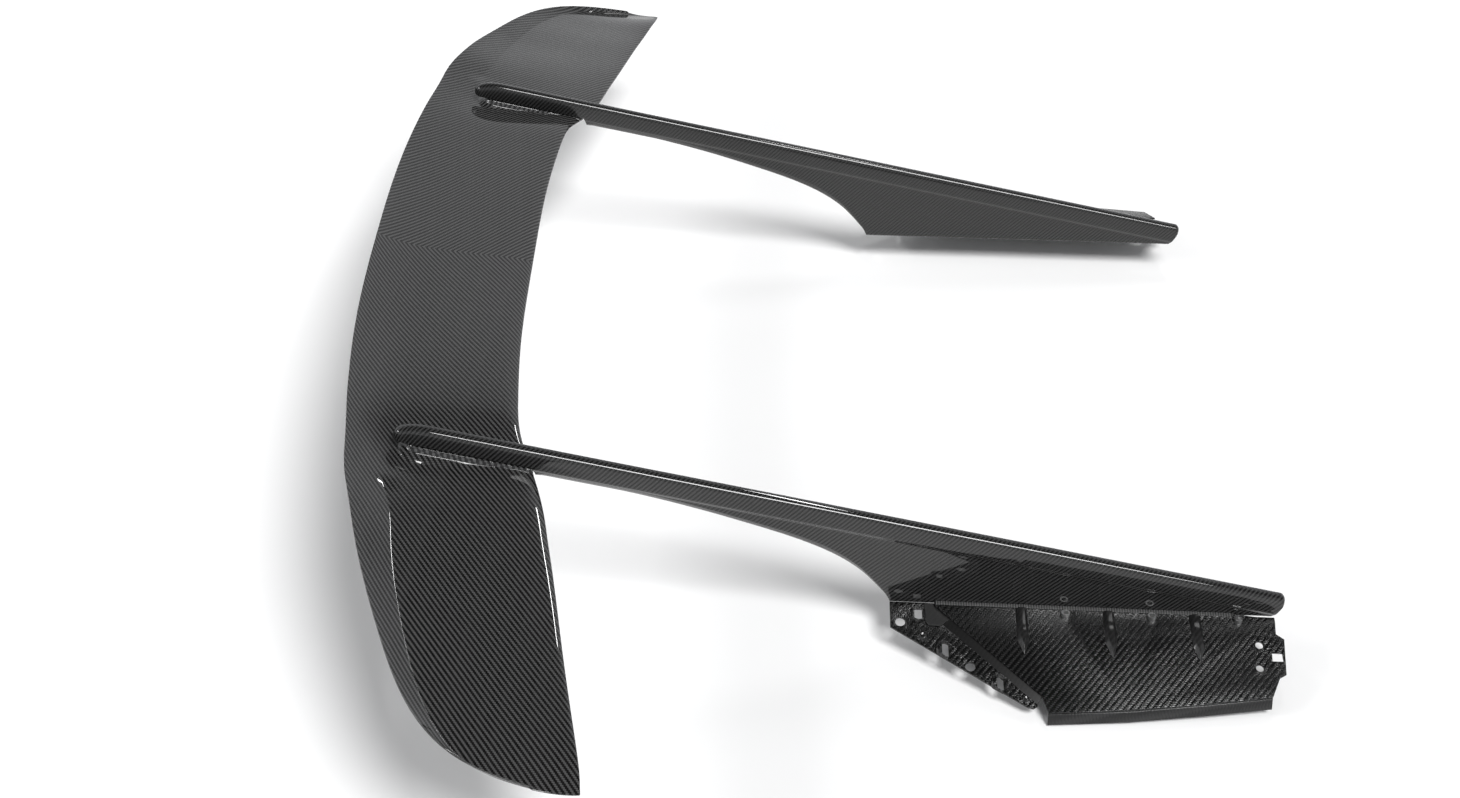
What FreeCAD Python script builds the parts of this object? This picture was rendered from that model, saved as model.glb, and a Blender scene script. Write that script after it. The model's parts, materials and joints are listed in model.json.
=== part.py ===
import FreeCAD, Part
import math
import os
import Sketcher
from FreeCAD import Placement, Rotation, Vector

# A fixed rear wing: one hollow blade under two long arms, each arm flaring into
# a fin with a bolted deck panel. +X is the car's left, +Y rearward, +Z up.
# The origin is the centre of the deck-bolt rectangle, level with its faces.

doc = FreeCAD.newDocument("rear_wing")

# ---------------------------------------------------------------- dimensions
DIMENSIONS = [
    ("skin_thk", 1.8, "blade skin thickness"),
    ("te_thk", 2.4, "blunt trailing edge"),
    ("bond_gap", 0.1, "glue line between bonded parts"),
    ("core_gap", 0.25, "glue line between skin and foam"),
    ("camber", 0.068, "camber of the blade as a share of chord"),
    ("hard_in", 412, "inner face of a hardpoint"),
    ("hard_out", 450, "outer face of a hardpoint"),
    ("core_end", 820, "outboard end of the foam"),
    ("spar_depth", 36, "spar, fore and aft"),
    ("spar_height", 8, "spar, up and down"),
    ("spar_wall", 2, "spar wall"),
    ("spar_pos_y", 925, "spar centre, rearward"),
    ("spar_pos_z", 209.5, "spar centre, up"),
    ("arm_offset", 435.5, "arm centre plane at the origin, outboard"),
    ("arm_toe", 0.5, "arms close up to the rear, degrees"),
    ("arm_slope", 11.5, "top line falls to the front, degrees"),
    ("arm_top", 62, "height of the top line at the origin"),
    ("arm_width", 20, "width of the rounded cap"),
    ("web_width", 14, "width of the fin below the cap"),
    ("cap_drop", 25, "top line down to the cap's lower crease"),
    ("tube_drop", 38, "top line down to the free tube's underside"),
    ("arm_wall", 2.2, "wall of the arm mouldings"),
    ("tail_pos", 976, "rear end of the arm"),
    ("seat_rear", 955, "rear end of the seat on the blade"),
    ("seat_front", 798, "front end of the seat on the blade"),
    ("seat_thk", 1, "gasket between pad and arm"),
    ("seat_width", 16, "width of that gasket"),
    ("nose_pos", 172, "front tip of the fin, ahead of the origin"),
    ("fin_rear", 341, "rear corner of the fin foot"),
    ("rail_width", 12, "tapped rail in the arm"),
    ("rail_height", 10, "tapped rail in the arm"),
    ("bar_height", 10, "bar in the foot of the fin"),
    ("bolt_radius", 3, "M6 shank"),
    ("hole_radius", 3.3, "M6 clearance hole"),
    ("head_radius", 5, "M6 cap head"),
    ("head_height", 4, "M6 cap head"),
    ("sink_radius", 6.5, "counterbore under the blade"),
    ("bolt_reach", 10, "thread above the seat"),
    ("bolt_grip", 22, "seat down to the head"),
    ("cup_thk", 1.2, "washer under the head"),
    ("panel_thk", 2.5, "deck panel thickness"),
    ("panel_tilt", 12.7, "deck panel falls outboard, degrees"),
    ("deck_hole_x", 454, "deck bolt holes, outboard"),
    ("deck_pitch", 112.5, "deck bolt holes, fore and aft"),
    ("bush_radius", 5.5, "steel bush in the panel"),
    ("bush_length", 9, "steel bush in the panel"),
    ("strip_width", 5.5, "strip along the foot of the fin"),
    ("strip_thk", 1.4, "strip along the foot of the fin"),
    ("rib_height", 5, "panel stiffeners"),
    ("rib_length", 70, "panel stiffeners"),
    ("rib_width", 15, "panel stiffeners at the fin"),
    ("flange_drop", 4.5, "rear flange below the panel"),
    ("foot_drop", 5, "foot of the fin below the panel's top"),
    ("flange_thk", 2.5, "rear flange"),
    ("bracket_thk", 2, "front bracket"),
]

sheet = doc.addObject("Spreadsheet::Sheet", "dims")
for number, (alias, value, note) in enumerate(DIMENSIONS, start=1):
    cell = "B%d" % number
    sheet.set("A%d" % number, alias)
    sheet.set(cell, "%g" % value)
    sheet.setAlias(cell, alias)
    sheet.set("C%d" % number, note)
doc.recompute()

DIM = {alias: float(sheet.get(alias)) for alias, _, _ in DIMENSIONS}

# Blade stations: outboard distance, trailing edge (rearward, up), leading edge
# (rearward, up), thickness as a share of chord, width of the trailing lip.
STATIONS = [
    (0, 1060, 251, 843, 207, 0.100, 0),
    (200, 1056, 250, 840, 209, 0.100, 0),
    (320, 1046, 249, 831, 209, 0.100, 0),
    (380, 1039, 247, 822, 205, 0.100, 0),
    (440, 1031, 244, 801, 191, 0.095, 0),
    (500, 1022, 243, 783, 184, 0.090, 28),
    (545, 1010, 240, 774, 180, 0.088, 52),
    (600, 995, 231, 763, 174, 0.088, 47),
    (670, 972, 216, 750, 165, 0.086, 39),
    (740, 945, 202, 737, 156, 0.084, 32),
    (800, 917, 187, 725, 148, 0.080, 26),
    (845, 885, 173, 716, 143, 0.076, 20),
    (872, 852, 162, 711, 138, 0.070, 14),
    (889, 812, 152, 709, 134, 0.066, 9),
    (899, 764, 142, 708, 132, 0.070, 5),
]

PLAIN_CREASE = 0.8  # where the camber line straightens, inboard of the lip
FAR = 400.0  # reaches past any part it cuts


# ------------------------------------------------------------------- helpers
def feature(label, shape):
    """A free-form part whose shape is computed from the sheet."""
    item = doc.addObject("Part::Feature", label)
    item.Label = label
    item.Shape = shape
    return item


def mirrored(label, source):
    """The same part on the car's other side."""
    item = doc.addObject("Part::Mirroring", label)
    item.Label = label
    item.Source = source
    item.Normal = Vector(1, 0, 0)
    return item


def block(x_min, x_max, y_min, y_max, z_min, z_max):
    size = (x_max - x_min, y_max - y_min, z_max - z_min)
    return Part.makeBox(*size, Vector(x_min, y_min, z_min))


def spline(points):
    curve = Part.BSplineCurve()
    curve.interpolate(points)
    return curve.toShape()


def closed_polygon(points):
    return Part.makePolygon(list(points) + [points[0]])


def body_with_sketch(label, name, outline):
    """A body and its base sketch; outline is a list of corner points."""
    body = doc.addObject("PartDesign::Body", label)
    body.Label = label
    sketch = body.newObject("Sketcher::SketchObject", name)
    plane = [f for f in body.Origin.OriginFeatures if f.Role == "XY_Plane"][0]
    sketch.AttachmentSupport = [(plane, "")]
    sketch.MapMode = "FlatFace"
    draw_loop(sketch, outline)
    return body, sketch, plane


def draw_loop(sketch, outline):
    """Closed run of lines, joined with coincidences."""
    first = sketch.GeometryCount
    total = len(outline)
    for i in range(total):
        start = Vector(*outline[i], 0)
        end = Vector(*outline[(i + 1) % total], 0)
        sketch.addGeometry(Part.LineSegment(start, end), False)
    for i in range(total):
        here = first + i
        after = first + (i + 1) % total
        sketch.addConstraint(Sketcher.Constraint("Coincident", here, 2, after, 1))


def draw_circle(sketch, centre, radius):
    circle = Part.Circle(Vector(*centre, 0), Vector(0, 0, 1), radius)
    sketch.addGeometry(circle, False)


def pad(body, sketch, name, expression, reverse=False):
    item = body.newObject("PartDesign::Pad", name)
    item.Profile = sketch
    item.setExpression("Length", expression)
    item.Reversed = reverse
    sketch.Visibility = False
    return item


def pocket_through(body, plane, name, draw, offset=None):
    """Cut whatever draw() puts in a sketch right through the body."""
    sketch = body.newObject("Sketcher::SketchObject", name + "_sketch")
    sketch.AttachmentSupport = [(plane, "")]
    sketch.MapMode = "FlatFace"
    if offset:
        sketch.AttachmentOffset = offset
    draw(sketch)
    item = body.newObject("PartDesign::Pocket", name)
    item.Profile = sketch
    item.Type = "ThroughAll"
    item.Midplane = True
    sketch.Visibility = False
    return item


# --------------------------------------------------------------------- blade
def camber_at(u, crease):
    """Camber line of the inverted section, as a share of chord (down is -)."""
    deepest = 0.62
    bow = -DIM["camber"] * (1 - (1 - min(u, crease) / deepest) ** 2)
    if u <= crease:
        return bow
    return bow * (1 - u) / (1 - crease)


def half_thickness(u, share):
    """Four-digit section thickness, as a share of chord."""
    poly = 0.2969 * math.sqrt(u) - 0.1260 * u - 0.3516 * u ** 2
    return 5 * share * (poly + 0.2843 * u ** 3 - 0.1015 * u ** 4)


class Section:
    """One blade section: places points by share of chord and by surface."""

    def __init__(self, side, station):
        x, te_y, te_z, le_y, le_z, share, lip = station
        self.x = side * x
        self.lead = Vector(self.x, le_y, le_z)
        trail = Vector(self.x, te_y, te_z)
        self.chord = (trail - self.lead).Length
        self.along = (trail - self.lead).normalize()
        self.up = Vector(0, -self.along.z, self.along.y)
        self.share = share
        self.crease = 1 - lip / self.chord if lip else PLAIN_CREASE

    def point(self, u, surface, inset=0.0):
        half = half_thickness(u, self.share) * self.chord
        half = max(half, DIM["te_thk"] / 2 * min(1, u * 8)) - inset
        height = camber_at(u, self.crease) * self.chord + surface * half
        return self.lead + self.along * (u * self.chord) + self.up * height

    def outer_wire(self):
        nose = [self.point(u, -1) for u in (0.012, 0.003)]
        front = [0, 0.006, 0.02, 0.06, 0.14, 0.28, 0.45]
        upper = nose + [self.point(u, 1) for u in front]
        upper += [self.point(self.crease * k, 1) for k in (0.82, 1)]
        middle = (self.crease + 1) / 2
        lip = [self.point(u, 1) for u in (self.crease, middle, 1)]
        under_lip = [self.point(u, -1) for u in (1, middle, self.crease)]
        lower = [self.point(self.crease * k, -1) for k in (1, 0.82)]
        lower += [self.point(u, -1) for u in (0.45, 0.28, 0.14, 0.06, 0.03, 0.012)]
        edges = [spline(upper), spline(lip), Part.makeLine(lip[-1], under_lip[0])]
        edges += [spline(under_lip), spline(lower)]
        return Part.Wire(edges)

    def inner_wire(self, inset, front, rear):
        shares = [front + (rear - front) * k for k in (0, 0.2, 0.45, 0.7, 1)]
        top = [self.point(u, 1, inset) for u in shares]
        bottom = [self.point(u, -1, inset) for u in reversed(shares)]
        edges = [spline(top), Part.makeLine(top[-1], bottom[0])]
        edges += [spline(bottom), Part.makeLine(bottom[-1], top[0])]
        return Part.Wire(edges)

    def parting_wire(self):
        """Region above the line from nose to trailing edge."""
        front = self.lead - self.along * 60
        back = self.lead + self.along * (self.chord + 60)
        reach = 90
        points = [front, self.lead, self.point(0.35, 0), self.point(self.crease, 0)]
        points += [self.lead + self.along * self.chord, back]
        points += [back + Vector(0, 0, reach), front + Vector(0, 0, reach)]
        return closed_polygon(points)


def sections(limit=2000.0):
    """All sections from the car's right to its left, out to a limit."""
    inside = [s for s in STATIONS if s[0] <= limit]
    right = [Section(-1, s) for s in reversed(inside) if s[0] > 0]
    return right + [Section(1, s) for s in inside]


def core_solid(inset, shrink):
    """Foam volume inside the skins, tapering out before the tips."""
    wires = [s.inner_wire(inset, 0.06 + shrink, 0.74 - shrink) for s in sections(845)]
    return Part.makeLoft(wires, True, False)


def seat_height(y):
    slope = math.tan(math.radians(DIM["arm_slope"]))
    return DIM["arm_top"] + slope * y - DIM["cap_drop"]


def pad_solid(x_centre):
    """Raised foot under an arm, spreading into the skin."""
    mid_y = (DIM["seat_rear"] + DIM["seat_front"]) / 2
    half = (DIM["seat_rear"] - DIM["seat_front"]) / 2
    tilt = Rotation(Vector(1, 0, 0), DIM["arm_slope"])
    origin = Vector(x_centre, mid_y, seat_height(mid_y) - DIM["seat_thk"])
    loops = ((0, 11, 2), (2, 12, 3), (5, 16, 6), (9, 25, 10), (15, 44, 16))
    wires = [rounded_loop(origin, tilt, drop, wide, half + extra) for drop, wide, extra in loops]
    return Part.makeLoft(wires, True, False)


def rounded_loop(origin, tilt, drop, wide, long):
    """Stadium outline in the seat plane, a given depth below it."""
    corner = min(wide, 10.0) * 0.95
    out = []
    for sx, sy, start in ((1, -1, -90), (1, 1, 0), (-1, 1, 90), (-1, -1, 180)):
        centre = Vector(sx * (wide - corner), sy * (long - corner), -drop)
        pts = []
        for step in (0, 45, 90):
            angle = math.radians(start + step)
            reach = Vector(math.cos(angle) * corner, math.sin(angle) * corner, 0)
            pts.append(origin + tilt.multVec(centre + reach))
        out.append(pts)
    edges = []
    for i in range(4):
        edges.append(Part.Arc(*out[i]).toShape())
        edges.append(Part.makeLine(out[i][2], out[(i + 1) % 4][0]))
    return Part.Wire(edges)


def arm_centre_x(y):
    """Outboard distance of the arm's centre plane at y."""
    return DIM["arm_offset"] - math.tan(math.radians(DIM["arm_toe"])) * y


def bolt_sites():
    """Seat points of the three arm bolts on the car's right."""
    from_end = 32
    middle = (DIM["seat_front"] + DIM["seat_rear"]) / 2
    ys = (DIM["seat_front"] + from_end, middle, DIM["seat_rear"] - from_end)
    return [Vector(-arm_centre_x(y), y, seat_height(y)) for y in ys]


def seat_normal():
    return Rotation(Vector(1, 0, 0), DIM["arm_slope"]).multVec(Vector(0, 0, 1))


def bolt_column(radius, low, high):
    """Cylinders on the bolt axes between two heights from the seat."""
    up = seat_normal()
    solids = []
    for site in bolt_sites():
        solids.append(Part.makeCylinder(radius, high - low, site + up * low, up))
    return Part.makeCompound(solids)


def both_sides(shape):
    return [shape, shape.mirror(Vector(0, 0, 0), Vector(1, 0, 0))]


def build_blade():
    outer = Part.makeLoft([s.outer_wire() for s in sections()], True, False)
    above = Part.makeLoft([s.parting_wire() for s in sections()], True, True)
    hollow = core_solid(DIM["skin_thk"], 0)
    core = core_solid(DIM["skin_thk"] + DIM["core_gap"], 0.003)
    shell = outer.cut(hollow)

    pad_right = pad_solid(-arm_centre_x(876)).common(above).cut(hollow)
    holes = both_sides(bolt_column(DIM["hole_radius"], -60, 4))
    sinks = both_sides(bolt_column(DIM["sink_radius"], -60, -DIM["bolt_grip"]))

    upper = shell.common(above).fuse(both_sides(pad_right)).cut(holes + sinks)
    lower = shell.cut(above).cut(holes + sinks)
    feature("blade_upper_skin", one_solid(upper))
    feature("blade_lower_skin", one_solid(lower))

    spar_x = DIM["hard_in"] - DIM["bond_gap"]
    spar_outer = spar_box(spar_x, 0)
    gap = DIM["bond_gap"]
    inner = core.common(block(-DIM["hard_in"] + gap, DIM["hard_in"] - gap, 700, 1100, 0, 400))
    feature("blade_core_centre", one_solid(inner.cut(spar_box(FAR * 2, gap))))
    spar_bore = spar_box(FAR * 2, -DIM["spar_wall"])
    feature("blade_spar", spar_outer.cut(spar_bore))

    hard = core.common(block(-DIM["hard_out"], -DIM["hard_in"], 700, 1100, 0, 400))
    hard_item = feature("blade_hardpoint_right", one_solid(hard.cut([holes[0], sinks[0]])))
    mirrored("blade_hardpoint_left", hard_item)

    foam = core.common(block(-DIM["core_end"], -DIM["hard_out"] - gap, 600, 1100, 0, 400))
    foam_item = feature("blade_core_right", one_solid(foam))
    mirrored("blade_core_left", foam_item)


def spar_box(half_length, grow):
    y = DIM["spar_pos_y"]
    z = DIM["spar_pos_z"]
    dy = DIM["spar_depth"] / 2 + grow
    dz = DIM["spar_height"] / 2 + grow
    box = block(-half_length, half_length, y - dy, y + dy, z - dz, z + dz)
    box.rotate(Vector(0, y, z), Vector(1, 0, 0), 11.0)
    return box


def one_solid(shape):
    """The largest solid of a result, checked to be the only real one."""
    solids = sorted(shape.Solids, key=lambda s: s.Volume)
    if not solids:
        raise RuntimeError("empty result")
    if len(solids) > 1 and solids[-2].Volume > 1.0:
        raise RuntimeError("result fell apart: %s" % [round(s.Volume) for s in solids])
    return solids[-1]


# ---------------------------------------------------------------------- arms
def arm_profile(inset):
    """Side outline of tube and fin, in the plane x = 0."""
    slope = math.tan(math.radians(DIM["arm_slope"]))

    def top(y):
        return DIM["arm_top"] + slope * y

    clear = 3
    foot = inset - DIM["foot_drop"]
    tail = DIM["tail_pos"] - inset
    seat_r = DIM["seat_rear"]
    seat_f = DIM["seat_front"] + inset / 2
    cap = DIM["cap_drop"] - inset
    drop = DIM["tube_drop"] - inset
    nose = inset - DIM["nose_pos"]
    rear = DIM["fin_rear"] - inset * 1.2
    start = tail - 52
    step = seat_f - 14
    begin = (690, top(690) - drop)
    corner = (rear, foot)
    flare = [(y, top(y) - depth + inset) for y, depth in ((602, 44), (518, 54), (440, 69))]
    flare += [(397 - inset * 0.4, top(397) - 86 + inset)]
    flare += [(366 - inset * 0.8, top(366) - 108 + inset * 0.8)]
    flare += [(347 - inset * 1.1, 8 + inset * 0.4)]
    blunt = [(tail - 20, top(tail) - 8), (tail - 4, top(tail) - 18)]
    blunt += [(tail - 4, top(tail) - 25 + inset)]
    nose_end = (nose + 14, foot)
    crown = (nose + 20, top(nose + 20) + clear)
    bow = [(nose + 3, foot + 8), (nose, 14), (nose + 6, top(nose + 6) - 4)]
    seat_a = (seat_r, top(seat_r) - cap)
    seat_b = (seat_f, top(seat_f) - cap)
    under = (step, top(step) - drop)
    tip = (start, top(start) + clear)
    edges = [line_yz(crown, tip), spline_yz([tip] + blunt + [seat_a]), line_yz(seat_a, seat_b)]
    edges += [line_yz(seat_b, under), line_yz(under, begin), spline_yz([begin] + flare + [corner])]
    edges += [line_yz(corner, nose_end), spline_yz([nose_end] + bow + [crown])]
    return Part.Face(Part.Wire(edges))


def line_yz(a, b):
    return Part.makeLine(Vector(0, *a), Vector(0, *b))


def spline_yz(points):
    return spline([Vector(0, *p) for p in points])


def cap_prism(inset):
    """Cross-section of cap and web, drawn out along the top line."""
    wide = DIM["arm_width"] / 2 - inset
    thin = DIM["web_width"] / 2 - inset
    cap = DIM["cap_drop"]
    shoulder = 9
    crown = -2.6 - inset
    crease = -cap - 8
    upper = [(-wide, -shoulder), (-wide * 0.72, crown), (0, -inset), (wide * 0.72, crown)]
    upper += [(wide, -shoulder)]
    ends = [(wide, -cap), (thin, crease), (thin, -FAR), (-thin, -FAR), (-thin, crease)]
    ends += [(-wide, -cap), (-wide, -shoulder)]
    edges = [spline([Vector(x, 0, z) for x, z in upper])]
    last = upper[-1]
    for point in ends:
        edges.append(Part.makeLine(Vector(last[0], 0, last[1]), Vector(point[0], 0, point[1])))
        last = point
    prism = Part.Face(Part.Wire(edges)).extrude(Vector(0, 1500, 0))
    prism.rotate(Vector(0, 0, 0), Vector(1, 0, 0), DIM["arm_slope"])
    slope = math.tan(math.radians(DIM["arm_slope"]))
    prism.translate(Vector(0, -300, DIM["arm_top"] - slope * 300))
    return prism


def arm_solid(inset):
    face = arm_profile(inset)
    slab = face.extrude(Vector(2 * DIM["arm_width"], 0, 0))
    slab.translate(Vector(-DIM["arm_width"], 0, 0))
    return slab.common(cap_prism(inset))


def place_right(shape):
    """Move an arm part from the plane x = 0 to the car's right, with its toe."""
    turned = shape.copy()
    turned.rotate(Vector(0, 0, 0), Vector(0, 0, 1), -DIM["arm_toe"])
    turned.translate(Vector(-DIM["arm_offset"], 0, 0))
    return turned


def rail_box():
    """Tapped rail above the seat."""
    wide = DIM["rail_width"] / 2
    low = DIM["arm_wall"] + 0.2
    high = low + DIM["rail_height"]
    middle = (DIM["seat_rear"] + DIM["seat_front"]) / 2
    reach = 62
    bar = block(-wide, wide, -reach, reach, low, high)
    bar.rotate(Vector(0, 0, 0), Vector(1, 0, 0), DIM["arm_slope"])
    bar.translate(Vector(0, middle, seat_height(middle)))
    return bar


def foot_bar():
    """Bar inside the foot of the fin that the panel is bolted to."""
    wide = DIM["web_width"] / 2 - DIM["arm_wall"] - DIM["bond_gap"]
    base = DIM["arm_wall"] + 0.2 - DIM["foot_drop"]
    return block(-wide, wide, -128, 300, base, base + DIM["bar_height"])


def foam_slab():
    """Flat foam core of the fin, above the foot bar and ahead of the rail."""
    wide = DIM["web_width"] / 2 - DIM["arm_wall"] - DIM["bond_gap"]
    slope = math.tan(math.radians(DIM["arm_slope"]))
    base = DIM["arm_wall"] + 0.5 - DIM["foot_drop"] + DIM["bar_height"]
    front = -120
    rear = DIM["seat_front"] - 30
    sink = DIM["arm_top"] - 5
    corners = [(front, base), (rear, base), (rear, sink + slope * rear), (front, sink + slope * front)]
    region = closed_polygon([Vector(0, *corner) for corner in corners])
    face = arm_profile(DIM["arm_wall"] + 0.8).common(Part.Face(region))
    slab = face.extrude(Vector(2 * wide, 0, 0))
    slab.translate(Vector(-wide, 0, 0))
    return slab


def build_arms():
    outer = arm_solid(0)
    gap = DIM["bond_gap"]
    shell = outer.cut(arm_solid(DIM["arm_wall"]))
    width = DIM["arm_width"]
    left_half = block(gap / 2, width, -400, 1200, -100, 500)
    right_half = block(-width, -gap / 2, -400, 1200, -100, 500)
    holes = bolt_column(DIM["hole_radius"], -60, 6)
    outboard = place_right(shell.common(right_half)).cut(holes)
    inboard = place_right(shell.common(left_half)).cut(holes)
    pairs("arm_outboard_shell", one_solid(outboard))
    pairs("arm_inboard_shell", one_solid(inboard))

    pairs("arm_core", one_solid(place_right(foam_slab())))
    tapped = bolt_column(DIM["bolt_radius"] + 0.05, -60, DIM["bolt_reach"] + 12)
    pairs("arm_rail", one_solid(place_right(rail_box()).cut(tapped)))
    pairs("fin_foot_bar", place_right(foot_bar()))


def pairs(name, shape):
    """A right-hand part and its mirror image."""
    item = feature(name + "_right", shape)
    mirrored(name + "_left", item)
    return item


def build_seats():
    """Thin gasket between each pad and its arm."""
    half = (DIM["seat_rear"] - DIM["seat_front"]) / 2 - 3
    wide = DIM["seat_width"] / 2
    body, sketch, plane = body_with_sketch(
        "arm_seat_right", "seat_outline",
        [(-wide, -half), (wide, -half), (wide, half), (-wide, half)])
    pad(body, sketch, "seat_pad", "dims.seat_thk - 2 * dims.bond_gap", True)
    mid_y = (DIM["seat_rear"] + DIM["seat_front"]) / 2
    base = Vector(-arm_centre_x(mid_y), mid_y, seat_height(mid_y)) - seat_normal() * DIM["bond_gap"]
    turn = Rotation(Vector(0, 0, 1), -DIM["arm_toe"]) * Rotation(Vector(1, 0, 0), DIM["arm_slope"])
    rise = math.cos(math.radians(DIM["arm_slope"]))

    def holes(target):
        for site in bolt_sites():
            draw_circle(target, (0, (site.y - mid_y) / rise), DIM["hole_radius"])

    pocket_through(body, plane, "seat_holes", holes)
    body.Placement = Placement(base, turn)
    mirrored("arm_seat_left", body)


def build_bolts():
    """Cap screws up through the blade into the rail, and their washers."""
    up = seat_normal()
    grip = DIM["bolt_grip"]
    cup = DIM["cup_thk"]
    length = grip + cup + DIM["bolt_reach"]
    screws = []
    cups = []
    for site in bolt_sites():
        head_top = site - up * (grip + cup)
        head_end = head_top - up * DIM["head_height"]
        shank = Part.makeCylinder(DIM["bolt_radius"], length, head_top, up)
        head = Part.makeCylinder(DIM["head_radius"], DIM["head_height"], head_end, up)
        socket = Part.makeCylinder(2.5, 2.2, head_end, up)
        screws.append(shank.fuse(head).cut(socket).removeSplitter())
        ring = Part.makeCylinder(DIM["sink_radius"] - 0.3, cup - 0.05, head_top + up * 0.03, up)
        cups.append(ring.cut(Part.makeCylinder(DIM["hole_radius"], 3, head_top - up * 0.5, up)))
    pairs("arm_bolts", Part.makeCompound(screws))
    pairs("arm_bolt_washers", Part.makeCompound(cups))


# --------------------------------------------------------------- deck panels
def foot_x(y):
    """Outboard face of the fin's foot, as a distance from the centre plane."""
    return arm_centre_x(y) + DIM["web_width"] / 2 + DIM["bond_gap"]


def panel_placement(lift=0.0):
    """Frame of the tilted panel: origin on the crease line, level with z = 0."""
    turn = Rotation(Vector(0, 1, 0), -DIM["panel_tilt"])
    return Placement(Vector(-DIM["arm_offset"], 0, 0) + turn.multVec(Vector(0, 0, lift)), turn)


def panel_point(x, y):
    """Row position to panel sketch coordinates (x is the outboard distance)."""
    return (-(x - DIM["arm_offset"]) / math.cos(math.radians(DIM["panel_tilt"])), y)


def deck_holes():
    return [(DIM["deck_hole_x"], step * DIM["deck_pitch"]) for step in (-1, 0, 1)]


PANEL_REAR = [(446, 283), (574, 152)]
PANEL_OUTLINE = PANEL_REAR + [(598, 146), (590, 42), (577, -60), (565, -142), (537, -155),
                              (535, -122), (474, -128), (476, -159), (454, -161)]
WALL_RUN = 10.0
NECK = -105
CAP_CLEAR = 3.4
CAP_END = -135


def upright_offset():
    """Turns a panel sketch so that it cuts straight down."""
    return Placement(Vector(0, 0, 0), Rotation(Vector(0, 1, 0), DIM["panel_tilt"]))


def build_panel():
    outline = [panel_point(x, y) for x, y in PANEL_OUTLINE]
    inner = [(foot_x(-161) + CAP_CLEAR, -161), (foot_x(CAP_END) + CAP_CLEAR, CAP_END),
             (foot_x(NECK), NECK), (foot_x(283), 283)]
    outline = [panel_point(x, y) for x, y in inner] + outline
    body, sketch, plane = body_with_sketch("deck_panel_right", "panel_outline", outline)
    pad(body, sketch, "panel_pad", "dims.panel_thk", True)

    def bush_holes(target):
        for x, y in deck_holes():
            draw_circle(target, (-(x - DIM["arm_offset"]), y), DIM["bush_radius"] + 0.05)

    pocket_through(body, plane, "bush_holes", bush_holes, upright_offset())

    body.Placement = panel_placement()
    mirrored("deck_panel_left", body)


def build_lip():
    """Turned-down outer edge of the panel, one bonded strip."""
    edge = [(598, 146), (590, 42), (577, -60), (565, -142)]
    drop = math.tan(math.radians(DIM["panel_tilt"]))
    wires = []
    under = DIM["panel_thk"] * 1.05
    for x, y in edge:
        top = -(x - DIM["arm_offset"]) * drop
        ring = [(x - 7, top + 1.5 - under), (x + 1, top - under - 0.2), (x + 7, top - 15)]
        ring += [(x + 5.2, top - 15.6), (x - 0.6, top - 4.6), (x - 7, top - 2.8)]
        wires.append(closed_polygon([Vector(-px, y, pz) for px, pz in ring]))
    pairs("panel_lip", Part.makeLoft(wires, True, True))


def rib_outline(start, y, half, shoulder, reach, height):
    """Outline of a stiffener with a pointed outboard end."""
    points = [(start, y - half), (start, y + half), (start - shoulder, y + half)]
    points += [(start - reach, y), (start - shoulder, y - half)]
    return closed_polygon([Vector(px, py, height) for px, py in points])


def build_ribs():
    """Three tapering stiffeners standing on the panel."""
    solids = []
    turn = panel_placement()
    for y in (170, 56.25, -56.25):
        wide = DIM["rib_width"] / 2
        long = DIM["rib_length"]
        high = DIM["rib_height"]
        start = -(foot_x(y) + DIM["strip_width"] + 1 - DIM["arm_offset"])
        foot = rib_outline(start, y, wide, long * 0.7, long, 0)
        crown = rib_outline(start, y, wide * 0.5, long * 0.62, long * 0.82, high)
        rib = Part.makeLoft([foot, crown], True, True)
        rib.Placement = turn
        solids.append(rib)
    pairs("panel_ribs", Part.makeCompound(solids))


def build_bushes():
    """Steel bushes whose flat top faces lie in the plane z = 0."""
    solids = []
    for x, y in deck_holes():
        top = Vector(-x, y, 0)
        down = Vector(0, 0, -1)
        ring = Part.makeCylinder(DIM["bush_radius"], DIM["bush_length"], top, down)
        bore = Part.makeCylinder(DIM["hole_radius"], DIM["bush_length"], top, down)
        solids.append(ring.cut(bore))
    pairs("deck_bushes", Part.makeCompound(solids))


def build_strip():
    """Narrow strip over the joint between fin and panel."""
    near = [(foot_x(NECK), NECK), (foot_x(281), 281)]
    wide = DIM["strip_width"]
    outline = [panel_point(*near[0]), panel_point(*near[1]),
               panel_point(near[1][0] + wide, 281), panel_point(near[0][0] + wide, NECK)]
    body, sketch, plane = body_with_sketch("root_strip_right", "strip_outline", outline)
    pad(body, sketch, "strip_pad", "dims.strip_thk")

    def clear_bushes(target):
        for x, y in deck_holes():
            draw_circle(target, (-(x - DIM["arm_offset"]), y), DIM["bush_radius"] + 0.3)

    pocket_through(body, plane, "bush_clearance", clear_bushes, upright_offset())
    body.Placement = panel_placement()
    mirrored("root_strip_left", body)


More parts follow.
